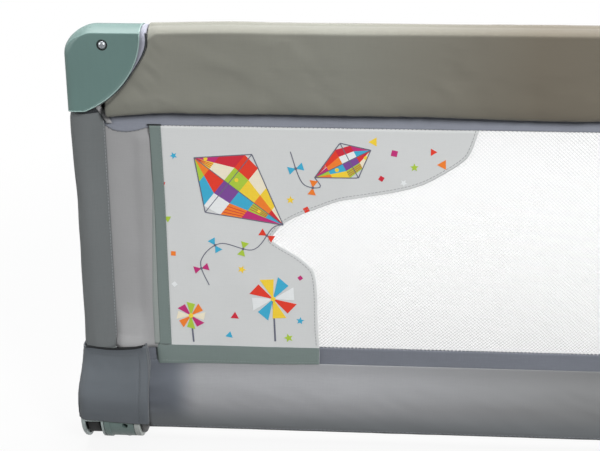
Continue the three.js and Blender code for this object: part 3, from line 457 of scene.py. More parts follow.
def fabric(name, colour, thread, contrast, rough, sheen, spread, far=None, ends=None, low=None):
    """Woven cloth: crossing threads, slubs along them and slow changes of shade. It may turn to
    a painted shade far along x, at both its ends or low down, between two places in metres,
    which stands in for light and shade falling on the cloth."""
    f = Finish(name)
    weave = f.math("MULTIPLY", f.wave((1, 1, 0), thread), f.wave((0, 1, 1), thread))
    slubs = f.cloud((14, 14, thread * 0.9), 3)
    streaks = f.cloud((thread * 0.9, 14, 14), 3)
    share = f.weighed((slubs, 0.42), (streaks, 0.28), (f.cloud((90, 90, 60)), 0.3),
                      (weave, 0.05 * contrast))
    tint = f.shades(share, colour, spread, 0.2)
    # Painted shade far along x
    if far:
        tint = f.blend(f.ranged(f.along(0), *far[1:]), tint, linear(far[0]))
    # Painted shade at both ends
    if ends:
        from_middle = f.math("ABSOLUTE", f.along(0))
        tint = f.blend(f.ranged(from_middle, *ends[1:], kind="SMOOTHSTEP"), tint, linear(ends[0]))
    # A painted colour low down, fading out above: darker on the band, lighter on the net
    if low:
        tint = f.blend(f.ranged(f.along(2), *low[1:], kind="SMOOTHSTEP"), linear(low[0]), tint)
    height = f.weighed((weave, 0.35 * contrast), (slubs, 0.5))
    return f.surface(tint, f.around(slubs, rough, 0.07, 0.07), height, 0.16, 0.6,
                     **{"Sheen Weight": sheen, "Sheen Roughness": 0.5, "Specular IOR Level": 0.25})


def plastic(name, colour, rough, grain, spread, depth=0.05, coat=0.0):
    """Moulded plastic: a fine grain, slow changes of shade and faint scuffs."""
    f = Finish(name)
    fine = f.cloud((grain, grain, grain))
    scuffs = f.cloud((3, 3, 22), 4, 0.7)
    share = f.weighed((f.cloud((60, 60, 60), 3), 0.6), (scuffs, 0.4))
    tint = f.shades(share, colour, spread, 0.16)
    return f.surface(tint, f.around(scuffs, rough, 0.05, 0.09), fine, depth, 0.4,
                     **{"Coat Weight": coat, "Coat Roughness": 0.25})


def metal(name, colour, rough, along):
    """Drawn or plated steel with faint lines along it."""
    f = Finish(name)
    lines = f.cloud(along, 4, 0.6)
    tint = f.ramp(f.cloud((25, 25, 25)),
                  [(0.35, linear(colour, 0.84)), (0.65, linear(colour, 1.08))])
    return f.surface(tint, f.around(lines, rough, 0.06, 0.12), lines, 0.04, 0.3, Metallic=0.9)


# Colour, thread in millimetres, contrast, roughness, sheen and spread of each cloth, and for
# some a painted shade far along x, at both ends and low down, each with two places in metres
CLOTHS = {
    # The rail cloth turns to a darker, browner painted shade from about the middle to the right end
    "rail_cloth": ((127, 127, 118), 0.9, 0.4, 0.86, 0.22, 0.05, ((108, 102, 90), -0.2, -0.02)),
    "panel_cloth": ((157, 157, 158), 0.9, 0.5, 0.88, 0.2, 0.05),
    "upright_cloth": ((108, 112, 113), 0.9, 0.5, 0.86, 0.2, 0.07),
    # The band cloth has painted shade: darker from about the middle to the right, darker still near
    # both ends beside the cuffs, and darker along its lowest part
    "band_cloth": ((153, 154, 157), 0.9, 0.6, 0.88, 0.2, 0.06, ((125, 126, 127), -0.2, 0.06),
                   ((103, 108, 116), 0.35, 0.382), ((118, 122, 125), 0.016, 0.05)),
    # A lighter copy of the binding cloth for the upper binding: painted light against the shade
    # that the padded rail casts on it
    "upper_binding_cloth": ((138, 142, 153), 0.8, 0.9, 0.85, 0.25, 0.1),
    # Near-black cloth for a sheet that stands in for shade inside the cuffs
    "lining_cloth": ((24, 26, 28), 0.8, 0.9, 0.9, 0.0, 0.1),
    "gusset_cloth": ((58, 61, 63), 0.8, 0.9, 0.9, 0.1, 0.1),
    "margin_cloth": ((146, 153, 150), 0.8, 0.6, 0.85, 0.2, 0.06),
    "binding_cloth": ((113, 117, 126), 0.8, 0.9, 0.85, 0.25, 0.12),
    "cuff_cloth": ((88, 93, 98), 0.9, 0.6, 0.88, 0.2, 0.06),
    "sage_cloth": ((116, 129, 126), 0.8, 0.6, 0.85, 0.2, 0.06),
    "patch_cloth": ((210, 212, 212), 0.7, 0.7, 0.85, 0.15, 0.03),
    "hem_cloth": ((150, 151, 163), 0.8, 0.6, 0.85, 0.25, 0.06),
    # The net's colour is painted: pure white low down and slightly grey higher up, as shade under
    # the padded rail
    "net_cloth": ((242, 243, 244), 0.5, 0.5, 0.7, 0.1, 0.01, None, None,
                  ((255, 255, 255), 0.11, 0.26)),
}
# The near-black thread is painted shadow: cords and stitches in it stand in for dark shadow lines
# in gaps
THREADS = {
    "thread": (150, 152, 155), "sage_thread": (128, 138, 135), "binding_thread": (128, 131, 139),
    "cuff_thread": (80, 84, 88), "bar_thread": (36, 40, 44),
}
PRINT_COLOURS = {
    "lime": (171, 201, 66), "yellow": (243, 208, 62), "orange": (240, 128, 48),
    "red": (226, 62, 44), "crimson": (205, 44, 62), "magenta": (190, 48, 118),
    "purple": (124, 74, 150), "cyan": (64, 172, 208), "cream": (238, 229, 204),
    "white": (232, 235, 236), "ink": (104, 106, 122),
}
# Colour, roughness, grain and spread of each plastic, and for some the grain's depth and a coat
PLASTICS = {
    "sage_plastic": ((88, 114, 110), 0.46, 0.5, 0.05, 0.03, 0.05),
    # A lighter sage for the rim bead: painted highlight
    "sage_rim": ((138, 162, 158), 0.4, 0.5, 0.05, 0.03, 0.15),
    "teal_plastic": ((98, 116, 112), 0.45, 0.5, 0.07),
    "black_plastic": ((20, 21, 22), 0.5, 0.4, 0.12),
    # A nearly black finish that stands in for shade in the hinge's hollow
    "cavity": ((10, 11, 11), 0.85, 0.5, 0.1),
    "light_plastic": ((176, 182, 178), 0.42, 0.5, 0.05),
}
METALS = {
    "steel": ((150, 152, 154), 0.42, (2, 40, 2)),
    "screw": ((150, 154, 158), 0.2, (3, 3, 3)),
    "zinc": ((128, 132, 136), 0.3, (3, 3, 3)),
}
LOOKS = {name: fabric(name, *row) for name, row in CLOTHS.items()}
for name, colour in THREADS.items():
    LOOKS[name] = fabric(name, colour, 0.3, 0.5, 0.7, 0.3, 0.08)
for kind, table in ((plastic, PLASTICS), (metal, METALS)):
    for name, row in table.items():
        LOOKS[name] = kind(name + "_finish", *row)
PRINTS = {name: fabric("print_" + name, colour, 0.7, 0.7, 0.8, 0.1, 0.06)
          for name, colour in PRINT_COLOURS.items()}
LOOKS["steel_tube"], LOOKS["zinc_screw"] = LOOKS["steel"], LOOKS["zinc"]


def paint(obj, look):
    obj.data.materials.clear()
    obj.data.materials.append(LOOKS[look])


def settle(obj, body, slot, *nodes, look=None):
    """Gives a piece its finish, from its look or its slot, and its body, and hides the nodes that
    it stands for. A slot of plastic or metal has a finish of its own name."""
    if look or slot in LOOKS:
        paint(obj, look or slot)
    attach(obj, body)
    if nodes:
        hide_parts(*nodes)
    return obj


def cloth(name, rows, thickness, slot, look, *nodes, side=0, closed=False):
    """A sheet on the panel, through rows of points."""
    obj = make(name, [p for row in rows for p in row],
               sheet_faces(len(rows), len(rows[0]), closed), side, solid=False)
    modify(obj, "SOLIDIFY", thickness=thickness * MM, offset=0)
    return settle(obj, "panel", slot, *nodes, look=look)


def thread(name, paths, radius, slot, look, side=0, sides=6, ends=0.3):
    """Threads or cords on the panel."""
    return settle(tubes(name, paths, radius, sides, side, ends), "panel", slot, look=look)


# Corner caps: a thin front and rear shell, open along the arc and at the foot
CAP_START = 4.5
CAP_REACH = 74.5
CAP_END = CAP_START + CAP_REACH
CAP_DROP = 85
CAP_LOW = RAIL_TOP - CAP_DROP
CAP_FOOT = 17.5
CAP_DEPTH = 21
CAP_CORNER = 30
CAP_WALL = 2.4
CAP_EDGE = 1.2
CAP_STEP = 151 / 96
PARTING = 0.15
CROWN_SIDE = 4
CROWN_TOP = 9
CREST_SIDE = -1.8
CREST_TOP = 3
CORNER_EDGE = 7
CAP_SCREW = (43.3, RAIL_TOP - 20)
ARC = [(CAP_START + CAP_FOOT, CAP_LOW), (CAP_START + CAP_REACH * 0.68, RAIL_TOP - CAP_DROP * 0.847),
       (CAP_END + 5.5, RAIL_TOP - CAP_DROP * 0.47), (CAP_END - 0.2, RAIL_TOP)]
ARC_TOP = RAIL_TOP - CROWN_TOP - 1.4
ARC_END = [(-0.3, 7.5), (-0.1, 3.5), (0, -0.5)]
CAP_LIP = [(1.9, 0), (1.35, 0.28), (0.8, 0.34), (0.35, 0.12), (0.05, -0.4), (0, -1.1), (0.15, -1.9),
           (0.6, -2.3), (1.2, -2.4)]


def bezier(points, t):
    s = 1 - t
    return Vector(tuple(s ** 3 * a + 3 * s * s * t * b + 3 * s * t * t * c + t ** 3 * d
                        for a, b, c, d in zip(*points)))


ARC_LINE = [p for p in (bezier(ARC, share) for share in shares(80)) if p.y < ARC_TOP]
ARC_LINE += [Vector((CAP_END - back, RAIL_TOP - down)) for back, down in ARC_END]
ARC_LINE = resample(ARC_LINE, 1.5)


def from_arc(u, z):
    """How far a place lies outside the cap's arc, below zero inside it."""
    spot = Vector((u, z))
    near = min(range(len(ARC_LINE)), key=lambda k: (ARC_LINE[k] - spot).length_squared)
    return (spot - ARC_LINE[near]).dot(beside(heading(ARC_LINE, near).normalized()))


def arc_u(z):
    """Where the cap's arc lies at a height."""
    for a, b in zip(ARC_LINE, ARC_LINE[1:]):
        if z <= b.y:
            return mix(a.x, b.x, (z - a.y) / (b.y - a.y))
    return ARC_LINE[-1].x


def cap_lines():
    """The cap's outer line and its arc, station by station, each with the way square to it."""
    outer = [Vector((CAP_START, mix(CAP_LOW, RAIL_TOP - CAP_CORNER, share)))
             for share in shares(20)[:-1]]
    for share in shares(32):
        angle = math.pi - QUARTER * share
        outer.append(Vector((CAP_START + CAP_CORNER * (1 + math.cos(angle)),
                             RAIL_TOP - CAP_CORNER * (1 - math.sin(angle)))))
    outer += [Vector((mix(CAP_START + CAP_CORNER, CAP_END, share), RAIL_TOP))
              for share in shares(20)[1:]]
    outer = resample(outer, CAP_STEP)
    inner = resample([p for p in ARC_LINE if p.y < RAIL_TOP - CROWN_TOP - CAP_EDGE - 0.3], 1)
    stations = []
    for i, spot in enumerate(outer):
        at = i / (len(outer) - 1) * (len(inner) - 1)
        k = min(int(at), len(inner) - 2)
        arc_spot, way = inner[k].lerp(inner[k + 1], at - k), inner[k + 1] - inner[k]
        stations.append((spot, beside(heading(outer, i).normalized()),
                         arc_spot, beside(way.normalized())))
    return stations


def crown(inward, depth):
    """How far the cap's rounded side draws in from its outer line at a depth."""
    share = smooth(-inward.y, 0, 1)
    return mix(mix(CREST_SIDE, CREST_TOP, share), mix(CROWN_SIDE, CROWN_TOP, share),
               (depth / CAP_DEPTH) ** 2)


def cap_section(spot, inward, arc_spot, out):
    """The shell's section at one station, as pairs of a place and a depth."""
    def wall(depth, into=0):
        return (spot + inward * (crown(inward, depth) + into), depth)

    edge = mix(CORNER_EDGE, CAP_EDGE, smooth(-inward.y, 0.3, 0.96))
    section = [wall(mix(PARTING, CAP_DEPTH - edge - 0.3, share))
               for share in (0, 0.2, 0.4, 0.58, 0.74, 0.88, 1)]
    centre = wall(CAP_DEPTH - edge, edge)[0]
    for angle in (QUARTER * share for share in shares(8)):
        section.append((centre - inward * edge * math.cos(angle),
                        CAP_DEPTH - edge + edge * math.sin(angle)))
    rim = arc_spot - out * 1.0
    section += [(centre.lerp(rim, share), CAP_DEPTH) for share in shares(14)[1:-1]]
    section += [(arc_spot - out * reach, CAP_DEPTH + depth) for reach, depth in CAP_LIP]
    inside = CAP_DEPTH - CAP_WALL
    back = wall(inside, CAP_WALL)[0]
    section += [(back.lerp(rim, share), inside) for share in shares(14)[-2:0:-1]]
    return section + [wall(depth, CAP_WALL) for depth in (inside, 16.5, 14, 11, 7.5, 4, PARTING)]


def cap_shell(name, side, face):
    loops = [[(p.x, face * depth, p.y) for p, depth in cap_section(*station)]
             for station in cap_lines()]
    shell = loft(name, loops, side, SHARP)
    boss = ring(6.6, *CAP_SCREW, 40)
    cut(shell, prism("boss", "y", boss, face * 11.5, face * (CAP_DEPTH - 0.6), side), "UNION")
    cut(shell, prism("bore", "y", ring(2.3, *CAP_SCREW, 24), face * 8, face * 26, side))
    if face < 0:
        well = [(5.3, -24), (5.3, -20.4), (5.1, -19.5), (0.01, -19.5), (0.01, -24)]
        cut(shell, turned("well", well, side, 48, CAP_SCREW))
    else:
        cut(shell, prism("well", "y", ring(4.4, *CAP_SCREW, 6), 17.6, 26, side))
    return shell


def cap_bead():
    """The line of the rim along both faces of the cap and over its end."""
    deep = CAP_DEPTH - CORNER_EDGE
    middle = CAP_START + crown(Vector((1, 0)), deep) + CORNER_EDGE
    line = [(middle - CORNER_EDGE * math.cos(a), deep + CORNER_EDGE * math.sin(a), CAP_LOW + 0.3)
            for a in (0.35, 0.8, 1.2, 1.57)]
    line += [(p.x - 0.5, CAP_DEPTH + 0.1, p.y) for p in ARC_LINE if CAP_LOW + 0.2 < p.y < ARC_TOP]
    for depth in (CAP_DEPTH * k / 9.4 for k in range(9, 0, -1)):
        share = (depth / CAP_DEPTH) ** 2
        line.append((mix(CAP_END - 0.3, CAP_END + 0.2, share), depth,
                     RAIL_TOP - mix(CREST_TOP, CROWN_TOP, share) - 0.1))
    front = [(u, -y, z) for u, y, z in line]
    return resample(front + [(CAP_END - 0.3, 0, RAIL_TOP - CREST_TOP - 0.1)] + line[::-1], 1.6)


SCREW_RING = [(5.25, -19.4), (5.25, -20.3), (4.75, -20.5), (4.45, -20.2), (4.45, -19.4)]
SCREW_HEAD = [(0.01, -22.4), (1.2, -22.34), (2.4, -22), (3.3, -21.4), (3.9, -20.6), (4.2, -19.7),
              (0.01, -19.7)]
for end, side in SIDES.items():
    for place, face in (("front", -1), ("rear", 1)):
        shell = cap_shell(end + "_cap_" + place, side, face)
        settle(shell, "panel", "sage_plastic", end + "_corner_" + place + "_shell")
    washer = turned(end + "_screw_ring", SCREW_RING, side, 48, CAP_SCREW)
    settle(washer, "panel", "black_plastic")
    head = turned(end + "_cross_screw", SCREW_HEAD, side, 48, CAP_SCREW)
    for wide, high in ((2.3, 0.42), (0.42, 2.3)):
        slot = [(CAP_SCREW[0] + a * wide, CAP_SCREW[1] + b * high)
                for a, b in ((-1, -1), (1, -1), (1, 1), (-1, 1))]
        cut(head, prism("slot", "y", slot, -24, -21.3, side))
    settle(head, "panel", "zinc_screw", end + "_corner_screw", look="screw")
    # A thin bead along the cap's rim: a raised lip, its lighter colour a painted highlight on the
    # rounded edge
    thread(end + "_cap_trim", [cap_bead()], 0.62, "sage_plastic", "sage_rim", side, 8)


# Padded top rail
PAD_START = 40
PAD_HALF = 21
PAD_BOTTOM = RAIL_TOP - 89
PAD_CROWN = 16
PAD_SHOULDER = RAIL_TOP - PAD_CROWN
PAD_SHARES = [(0.4, 0), (0.7, 0.02), (0.84, 0.14), (0.9, 0.36), (0.96, 0.6), (0.98, 0.76)]
PAD_STEP = 6
PAD_FINE = 1.2
PAD_MIDDLE = (405, 408)
PAD_ENDS = ((0, 0.78), (1.0, 0.92), (2.6, 0.98))
PAD_FRAMES = 20
PAD_SETTINGS = {
    "quality": 6, "mass": 0.25, "tension_stiffness": 18, "compression_stiffness": 14,
    "bending_stiffness": 0.6, "vertex_group_mass": "pins", "use_pressure": True,
    "uniform_pressure_force": 4, "shrink_min": -0.012,
}
CROWN_LIFT = [(410, 0), (434, 6), (450, 0)]
HEM_REACH = [(400, 0.4), (404, 0.7), (413, 2.5), (421, 4.4), (430, 5.8), (439, 5.4), (452, 5.2)]


def pad_section(inset):
    """Half of the pad's section, from the slit at the bottom to the crown, in (y, z)."""
    line = [(PAD_HALF * y, PAD_BOTTOM + (PAD_SHOULDER - PAD_BOTTOM) * z) for y, z in PAD_SHARES]
    line += [(PAD_HALF * math.cos(a), PAD_SHOULDER + PAD_CROWN * math.sin(a))
             for a in (QUARTER * share for share in shares(8)[1:])]
    line = [(1.9, PAD_BOTTOM + 5), (2.1, PAD_BOTTOM + 1.2)] + spline(line, 4)
    centre = Vector((0, PAD_MIDDLE[0]))
    return [p - (p - centre).normalized() * inset if p.x > 4 else p for p in resample(line, 3.6)]


def pad_start():
    """The pad before it is filled: a closed mesh, a little small all round."""
    half = pad_section(1.6)
    loop = [(-p.x, p.y) for p in half] + [(p.x, p.y) for p in reversed(half[:-1])]
    end = HALF_MM - PAD_START
    count = round(2 * end / PAD_STEP)

    def drawn(x, draw):
        return [(x, y * draw, mix(PAD_MIDDLE[1], z, draw if z > 380 else 0.5 + draw / 2))
                for y, z in loop]

    loops = [drawn(-end + reach, draw) for reach, draw in PAD_ENDS]
    loops += [[(mix(-end, end, share), y, z) for y, z in loop] for share in shares(count)[1:-1]]
    loops += [drawn(end - reach, draw) for reach, draw in reversed(PAD_ENDS)]
    return loft("pad_before_filling", loops), len(loop)


def fill_pad(pad, around):
    """Blows the pad up as cloth with its seam and ends held, and keeps what it adds to the even
    swelling."""
    def from_end(spot):
        return HALF - PAD_START * MM - abs(spot.x)

    start = [v.co.copy() for v in pad.data.vertices]
    pins = pad.vertex_groups.new(name="pins")
    for i, spot in enumerate(start):
        if min(i % around, around - 1 - i % around) < 4 or from_end(spot) < 0.004:
            pins.add([i], 1.0, "REPLACE")
    layer = pad.modifiers.new("cloth", "CLOTH")
    for key, value in PAD_SETTINGS.items():
        setattr(layer.settings, key, value)
    layer.settings.effector_weights.gravity = 0
    layer.collision_settings.use_collision = False
    layer.collision_settings.use_self_collision = False
    layer.point_cache.frame_start = 1
    layer.point_cache.frame_end = PAD_FRAMES
    scene = bpy.context.scene
    for step in range(PAD_FRAMES):
        scene.frame_set(step + 1)
    graph = bpy.context.evaluated_depsgraph_get()
    moved = [v.co.copy() for v in pad.evaluated_get(graph).data.vertices]
    pad.modifiers.clear()
    scene.frame_set(1)
    most = 0.6 * MM
    moves = [b - a for a, b in zip(start, moved)]
    loops = len(moves) // around
    even = [sum((moves[r * around + k] for r in range(6, loops - 6)), Vector()) / (loops - 12)
            for k in range(around)]
    for i, (vertex, a, move) in enumerate(zip(pad.data.vertices, start, moves)):
        crease = (move - even[i % around]) * 0.3
        held = min(1, most / max(crease.length, 1e-9))
        vertex.co = a + crease * held * smooth(from_end(a), 0.004, 0.05)


def refine(pad, around):
    """The pad's loops in millimetres, with more points round each and more loops near its ends."""
    spots = [(v.co.x / MM, (v.co.y - PANEL_Y) / MM, v.co.z / MM) for v in pad.data.vertices]
    loops = [spline(spots[i:i + around], 3) for i in range(0, len(spots), around)]
    made = [loops[0]]
    for a, b in zip(loops, loops[1:]):
        near_end = HALF_MM - min(abs(a[0][0]), abs(b[0][0])) < 100
        parts = max(1, round(abs(b[0][0] - a[0][0]) / PAD_FINE)) if near_end else 1
        for share in shares(parts)[1:]:
            made.append([tuple(mix(p, q, share) for p, q in zip(m, n)) for m, n in zip(a, b)])
    return made


def shape_pad(x, y, z):
    """Draws a point of the pad in at the caps, droops its ends and lays soft creases in it."""
    u = HALF_MM - abs(x)
    side = -1 if x < 0 else 1
    away = from_arc(u, z) if u < 100 else 50
    squeeze = 1 - smooth(away - curve_value(HEM_REACH, z), 0.1, 2.1)
    z += curve_value(CROWN_LIFT, z) * smooth(away - curve_value(HEM_REACH, z), 0.5, 12)
    droop = 6 * max(0, 1 - (u - PAD_START) / 70) ** 2 * smooth(-z, -400, -362)
    front = 1 if y < 0 else -1
    ripple = 0.55 * soft(x / 46, front * 3, z / 160, 1) + 0.3 * soft(x / 21, front * 3, z / 60, 2)
    slack = 0.9 * soft(x / 120, front * 5, z / 50, 3) * smooth(-z, -420, -370)
    seam = 0.7 * hill(z, 368, 5) * soft(x / 9, front * 2, 0, 4)
    pull = 1.1 * hill(away, 14, 12) * soft((u + z) / 14, front, (u - z) / 40, 5 + side)
    push = (ripple + slack + seam + pull) * smooth(abs(y), 6, 14) * (1 - squeeze * 0.7)
    y += (push if y > 0 else -push)
    y = max(-PAD_HALF - 0.6, min(PAD_HALF + 0.6, y))
    sag = 2.5 * smooth(u, 330, 470) * smooth(-z, -400, -366)
    z -= droop + sag
    y *= 1 - 0.2 * squeeze
    if z > 425:
        z = (425 + (z - 425) * (1 - 0.21 * squeeze)
             + 0.35 * soft(x / 70, y / 30, 0, 6) * (1 - squeeze) - 0.2)
        z -= 2.2 * (1 - smooth(u, 60, 200)) * smooth(z, 425, 440)
    return (x, y, min(z, RAIL_TOP + 0.3))


start, around = pad_start()
fill_pad(start, around)
pad_loops = refine(start, around)
bpy.data.objects.remove(start)
pad = loft("top_rail_pad", [[shape_pad(*p) for p in loop] for loop in pad_loops])
settle(pad, "panel", "padded_fabric", "top_rail_sleeve", "top_rail_foam", look="rail_cloth")


# The end hem of the padded rail, a dark cord along it, the gusset behind it, and the strip that
# shows below the cap. The cord's and the gusset's dark colours are painted shade for the dark
# gaps at the rail's end
UPRIGHT_U = 18.5
SLEEVE_IN = 18.5
SLEEVE_DEEP = 12.6
HEM_Y = 17.9
HEM_LOW = [(HEM_Y, z) for z in range(402, 432, 4)]
HEM_SPOTS = [(-y, z) for y, z in HEM_LOW]
HEM_SPOTS += [(-HEM_Y * math.cos(math.pi * share), 433 + 12.4 * math.sin(math.pi * share))
              for share in shares(36)]
HEM_SPOTS += list(reversed(HEM_LOW))


def hem_row(y, z):
    reach = curve_value(HEM_REACH, z) * 1.05
    out = Vector((y, 1.4 * max(0, z - 433))).normalized()
    row = []
    for at, proud in ((-2.5, 0), (-0.8, 0), (0.15, 0.2), (0.25 * reach, 0.9), (0.5 * reach, 1.2),
                      (0.8 * reach, 0.9), (reach, -0.5)):
        wave = 0.35 * soft(z / 9, y / 9, at / 4, 8) * smooth(at, 0, 2)
        row.append((arc_u(z) + at + wave, y + out.x * proud, z + out.y * proud))
    return row


def shadow_cord_point(face, share):
    z = mix(371, 441.5, share)
    proud = max(0.6, curve_value(HEM_REACH, max(z, 400)) - 0.1)
    return (arc_u(z) + proud, face * mix(18.3, 17, smooth(z, 432, 441)), z)


def gusset_point(down, across):
    z = mix(346, 392, down)
    return (mix(34, 43, across), 0.4 + 0.8 * soft(2 * across, z / 11, 0, 9), z)


def tuck_point(down, across):
    u = mix(27.5, 39.5, down) + 5.5 * across
    c = min(0.999, max(0, (u - UPRIGHT_U) / SLEEVE_IN))
    deep = max(2.4, SLEEVE_DEEP * math.sqrt(1 - c * c) * (1 - 0.55 * c * c))
    return (u, -deep - 1.3 - 0.9 * math.sin(math.pi * across), mix(372, 350, down))


for end, side in SIDES.items():
    hem = cloth(end + "_rail_hem", [hem_row(y, z) for y, z in HEM_SPOTS], 0.7,
                "padded_fabric", "hem_cloth", side=side)
    # A piping between the hem and the pad and down along the cap's arc, its near-black colour
    # painted shadow for the gap there
    shadow_cords = [resample([shadow_cord_point(face, share) for share in shares(47)], 1.6) for face in (-1, 1)]
    thread(end + "_rail_cord", shadow_cords, 1.0, "padded_fabric", "bar_thread", side, 8, 0.4)
    # A backing cloth behind the rail's end, its dark colour painted shade for the recess between
    # the pad and the upright
    gusset = cloth(end + "_rail_gusset", grid(22, 6, gusset_point), 0.8,
                   "binding_fabric", "gusset_cloth", side=side)
    strip = cloth(end + "_tuck_strip", grid(20, 6, tuck_point), 0.8,
                  "grey_fabric", "panel_cloth", side=side)


# Fabric round the uprights
SLEEVE_LOW = 106.3
SLEEVE_HIGH = 371
SLEEVE_SIDES = 56
SLEEVE_ROWS = 70
SLEEVE_REACH = [(106, 15.5), (137, 15.1), (168, 15), (209, 14.4), (239, 14.1), (270, 13.5),
                (300, 14.4), (331, 15.6), (352, 15.5), (359, 15), (364.6, 12), (371, 11.8)]
SHADOW_RIB_LEVELS = (362.2, 364.2, 366.2, 368.2, 370.2)
SEAM_LEVELS = (112, 200, 300, 360)


def sleeve_point(angle, z, side, proud=(0, 0)):
    c, s = math.cos(angle), math.sin(angle)
    reach = SLEEVE_IN if c > 0 else curve_value(SLEEVE_REACH, z)
    pinch = 1 - 0.55 * max(0, c) ** 2
    slack = (0.55 * soft(c * 0.9, s * 0.9, z / 34, 11 + side)
             + 0.5 * soft(c * 2.2, s * 2.2, z / 90, 12 + side))
    gather = 0.9 * hill(z, 112, 10) * soft(c * 4, s * 4, 1, 13)
    tuck = 1 - 0.04 * smooth(z, 352, 364)
    grow = (slack + gather) * smooth(z, 366, 350)
    edge = 1 + grow / 15
    return (UPRIGHT_U + reach * c * (edge if c < 0.4 else 1) * tuck + proud[0] * c,
            SLEEVE_DEEP * s * pinch * edge * tuck + proud[1] * s, z)


for end, side in SIDES.items():
    rows = [[sleeve_point(TURN * share, mix(SLEEVE_LOW, SLEEVE_HIGH, rise), side)
             for share in shares(SLEEVE_SIDES)[:-1]] for rise in shares(SLEEVE_ROWS)]
    sleeve = cloth(end + "_upright_cloth", rows, 0.9, "grey_fabric", "upright_cloth",
                   end + "_upright_sleeve", side=side, closed=True)
    # Near-black rib cords round the sleeve's top under the cap's foot: painted shadow for the dark
    # band there
    shadow_ribs = [[sleeve_point(TURN * share, level, side, (0.9, 1.1)) for share in shares(SLEEVE_SIDES)]
            for level in SHADOW_RIB_LEVELS]
    thread(end + "_sleeve_ribs", shadow_ribs, 0.98, "grey_fabric", "bar_thread", side, 8, 1)
    seams = stitch_paths([[(36.2, y, z) for z in SEAM_LEVELS] for y in (-2.7, 2.7)])
    thread(end + "_seam_stitches", seams, 0.32, "grey_fabric", "thread", side)


# Flat strips beside the net
def strip_point(down, across, side):
    z = mix(107, 350, down)
    u = mix(35.2, 84, across)
    bow = 0.9 * soft(u / 30, 2, z / 60, 21 + side) + 0.5 * soft(u / 14, 1, z / 26, 22 + side)
    foot = smooth(z, 122, 112)
    over = smooth(z, 158, 111) * smooth(u, 74, 60) * smooth(u, 35.5, 44)
    back = 2.1 * smooth(u, 62, 73) * smooth(z, 343, 334) if side < 0 else 0
    y = math.sin(math.pi * across) * bow
    return (u, y - 0.2 - 2.6 * foot - 6 * over - back * smooth(z, 112, 122), z)


for end, side in SIDES.items():
    strip = cloth(end + "_side_cloth", grid(60, 16, strip_point, side), 1.4,
                  "grey_fabric", "panel_cloth", end + "_side_panel", side=side)

# Net: two crossing sets of slanting strands
WINDOW_LOW = 110
WINDOW_HIGH = RAIL_TOP - 102
WINDOW_HALF = HALF_MM - 93
NET_MARGIN = 5.5
CELL_WIDE = 4.0
CELL_HIGH = 3.6
STRAND = ((0.28, 0), (0.14, 0.15), (-0.14, 0.15), (-0.28, 0), (-0.14, -0.15), (0.14, -0.15))


def net():
    low, high = WINDOW_LOW - NET_MARGIN, WINDOW_HIGH + NET_MARGIN
    end = WINDOW_HALF + NET_MARGIN
    lean = CELL_WIDE / CELL_HIGH
    rise = high - low
    points, faces = [], []
    count = math.ceil((2 * end + lean * rise) / CELL_WIDE)
    for way, depth in ((1, -0.13), (-1, 0.13)):
        for i in range(count):
            x0 = -end - lean * rise + CELL_WIDE * (i + 0.5)
            (xa, za), (xb, zb) = (x0, low), (x0 + lean * rise, high)
            if xa < -end:
                xa, za = -end, low + (-end - x0) / lean
            if xb > end:
                xb, zb = end, low + (end - x0) / lean
            if zb - za < 2:
                continue
            across = beside(Vector((xb - xa, zb - za)).normalized())
            faces += sheet_faces(3, len(STRAND), True, len(points), True)
            for x, z in ((xa, za), (mix(xa, xb, 0.5), mix(za, zb, 0.5)), (xb, zb)):
                points += [(way * (x + across.x * wide), depth + deep, z + across.y * wide)
                           for wide, deep in STRAND]
    return make("net", points, faces)


window = settle(net(), "panel", "net_fabric", "window_net", look="net_cloth")


# Bindings: cloth folded over the net's edge, with its two rows of stitches
FOLD_HALF = 1.8
FOLD_MOUTH = 0.5
SAG = [(37, 0.2), (45, 5.4), (57, 7), (68, 5.6), (79, 2.4), (92, 0.2), (100, 0), (500, 0)]
BINDING_END = HALF_MM - 36
BINDING_STEP = 4
BINDING_TOP = 18


def fold_line(width):
    """The folded cloth's middle line, from its front mouth round its back to its rear mouth, in
    (across, y)."""
    line = [(width, -FOLD_MOUTH - 0.4), (width - 0.5, -FOLD_MOUTH - 0.9),
            (width - 3, -FOLD_HALF + 0.4), (width * 0.6, -FOLD_HALF + 0.35), (3, -FOLD_HALF + 0.4),
            (1.1, -FOLD_HALF * 0.75), (0.4, 0)]
    return line + [(across, -y) for across, y in reversed(line[:-1])]


def binding(name, node, width, place, low, high, seed, look):
    """A folded strip. place turns (along, across, y) into a point."""
    line = spline(fold_line(width), 2)
    count = round((high - low) / BINDING_STEP)
    rows = []
    for along in (mix(low, high, share) for share in shares(count)):
        row = []
        for across, y in line:
            puff = (0.22 * soft(along / 7, across / 9, 1 if y > 0 else 0, seed)
                    + 0.25 * soft(along / 40, across / 30, 2, seed))
            body = smooth(across, 0, 3) * smooth(width - across, 0, 2)
            row.append(place(along, across, y + (puff * body if y > 0 else -puff * body)))
        rows.append(row)
    return cloth(name, rows, 0.7, "binding_fabric", look, node)


def edge_stitches(name, place, low, high, across):
    """Zigzag stitches over a binding's mouth, on both of its faces."""
    count = round((high - low) / 2.1)
    paths = [[place(mix(low, high, i / count), across + (1.3 if i % 2 else -1.0), face * 1.35)
              for i in range(count + 1)] for face in (-1, 1)]
    thread(name, paths, 0.26, "binding_fabric", "binding_thread", 0, 5, 0.5)


def bottom_place(along, across, y):
    return (along, y, 90 + across)


def top_place(along, across, y):
    """A point of the upper binding, whose lower edge sags beside the uprights."""
    sag = curve_value(SAG, HALF_MM - abs(along))
    swell = 1 + 0.06 * sag * math.sin(math.pi * min(1, across / BINDING_TOP))
    return (along, y * swell, WINDOW_HIGH + BINDING_TOP - across * (1 + sag / BINDING_TOP))


def left_place(along, across, y):
    return (-HALF_MM + 82 + across, y, along)


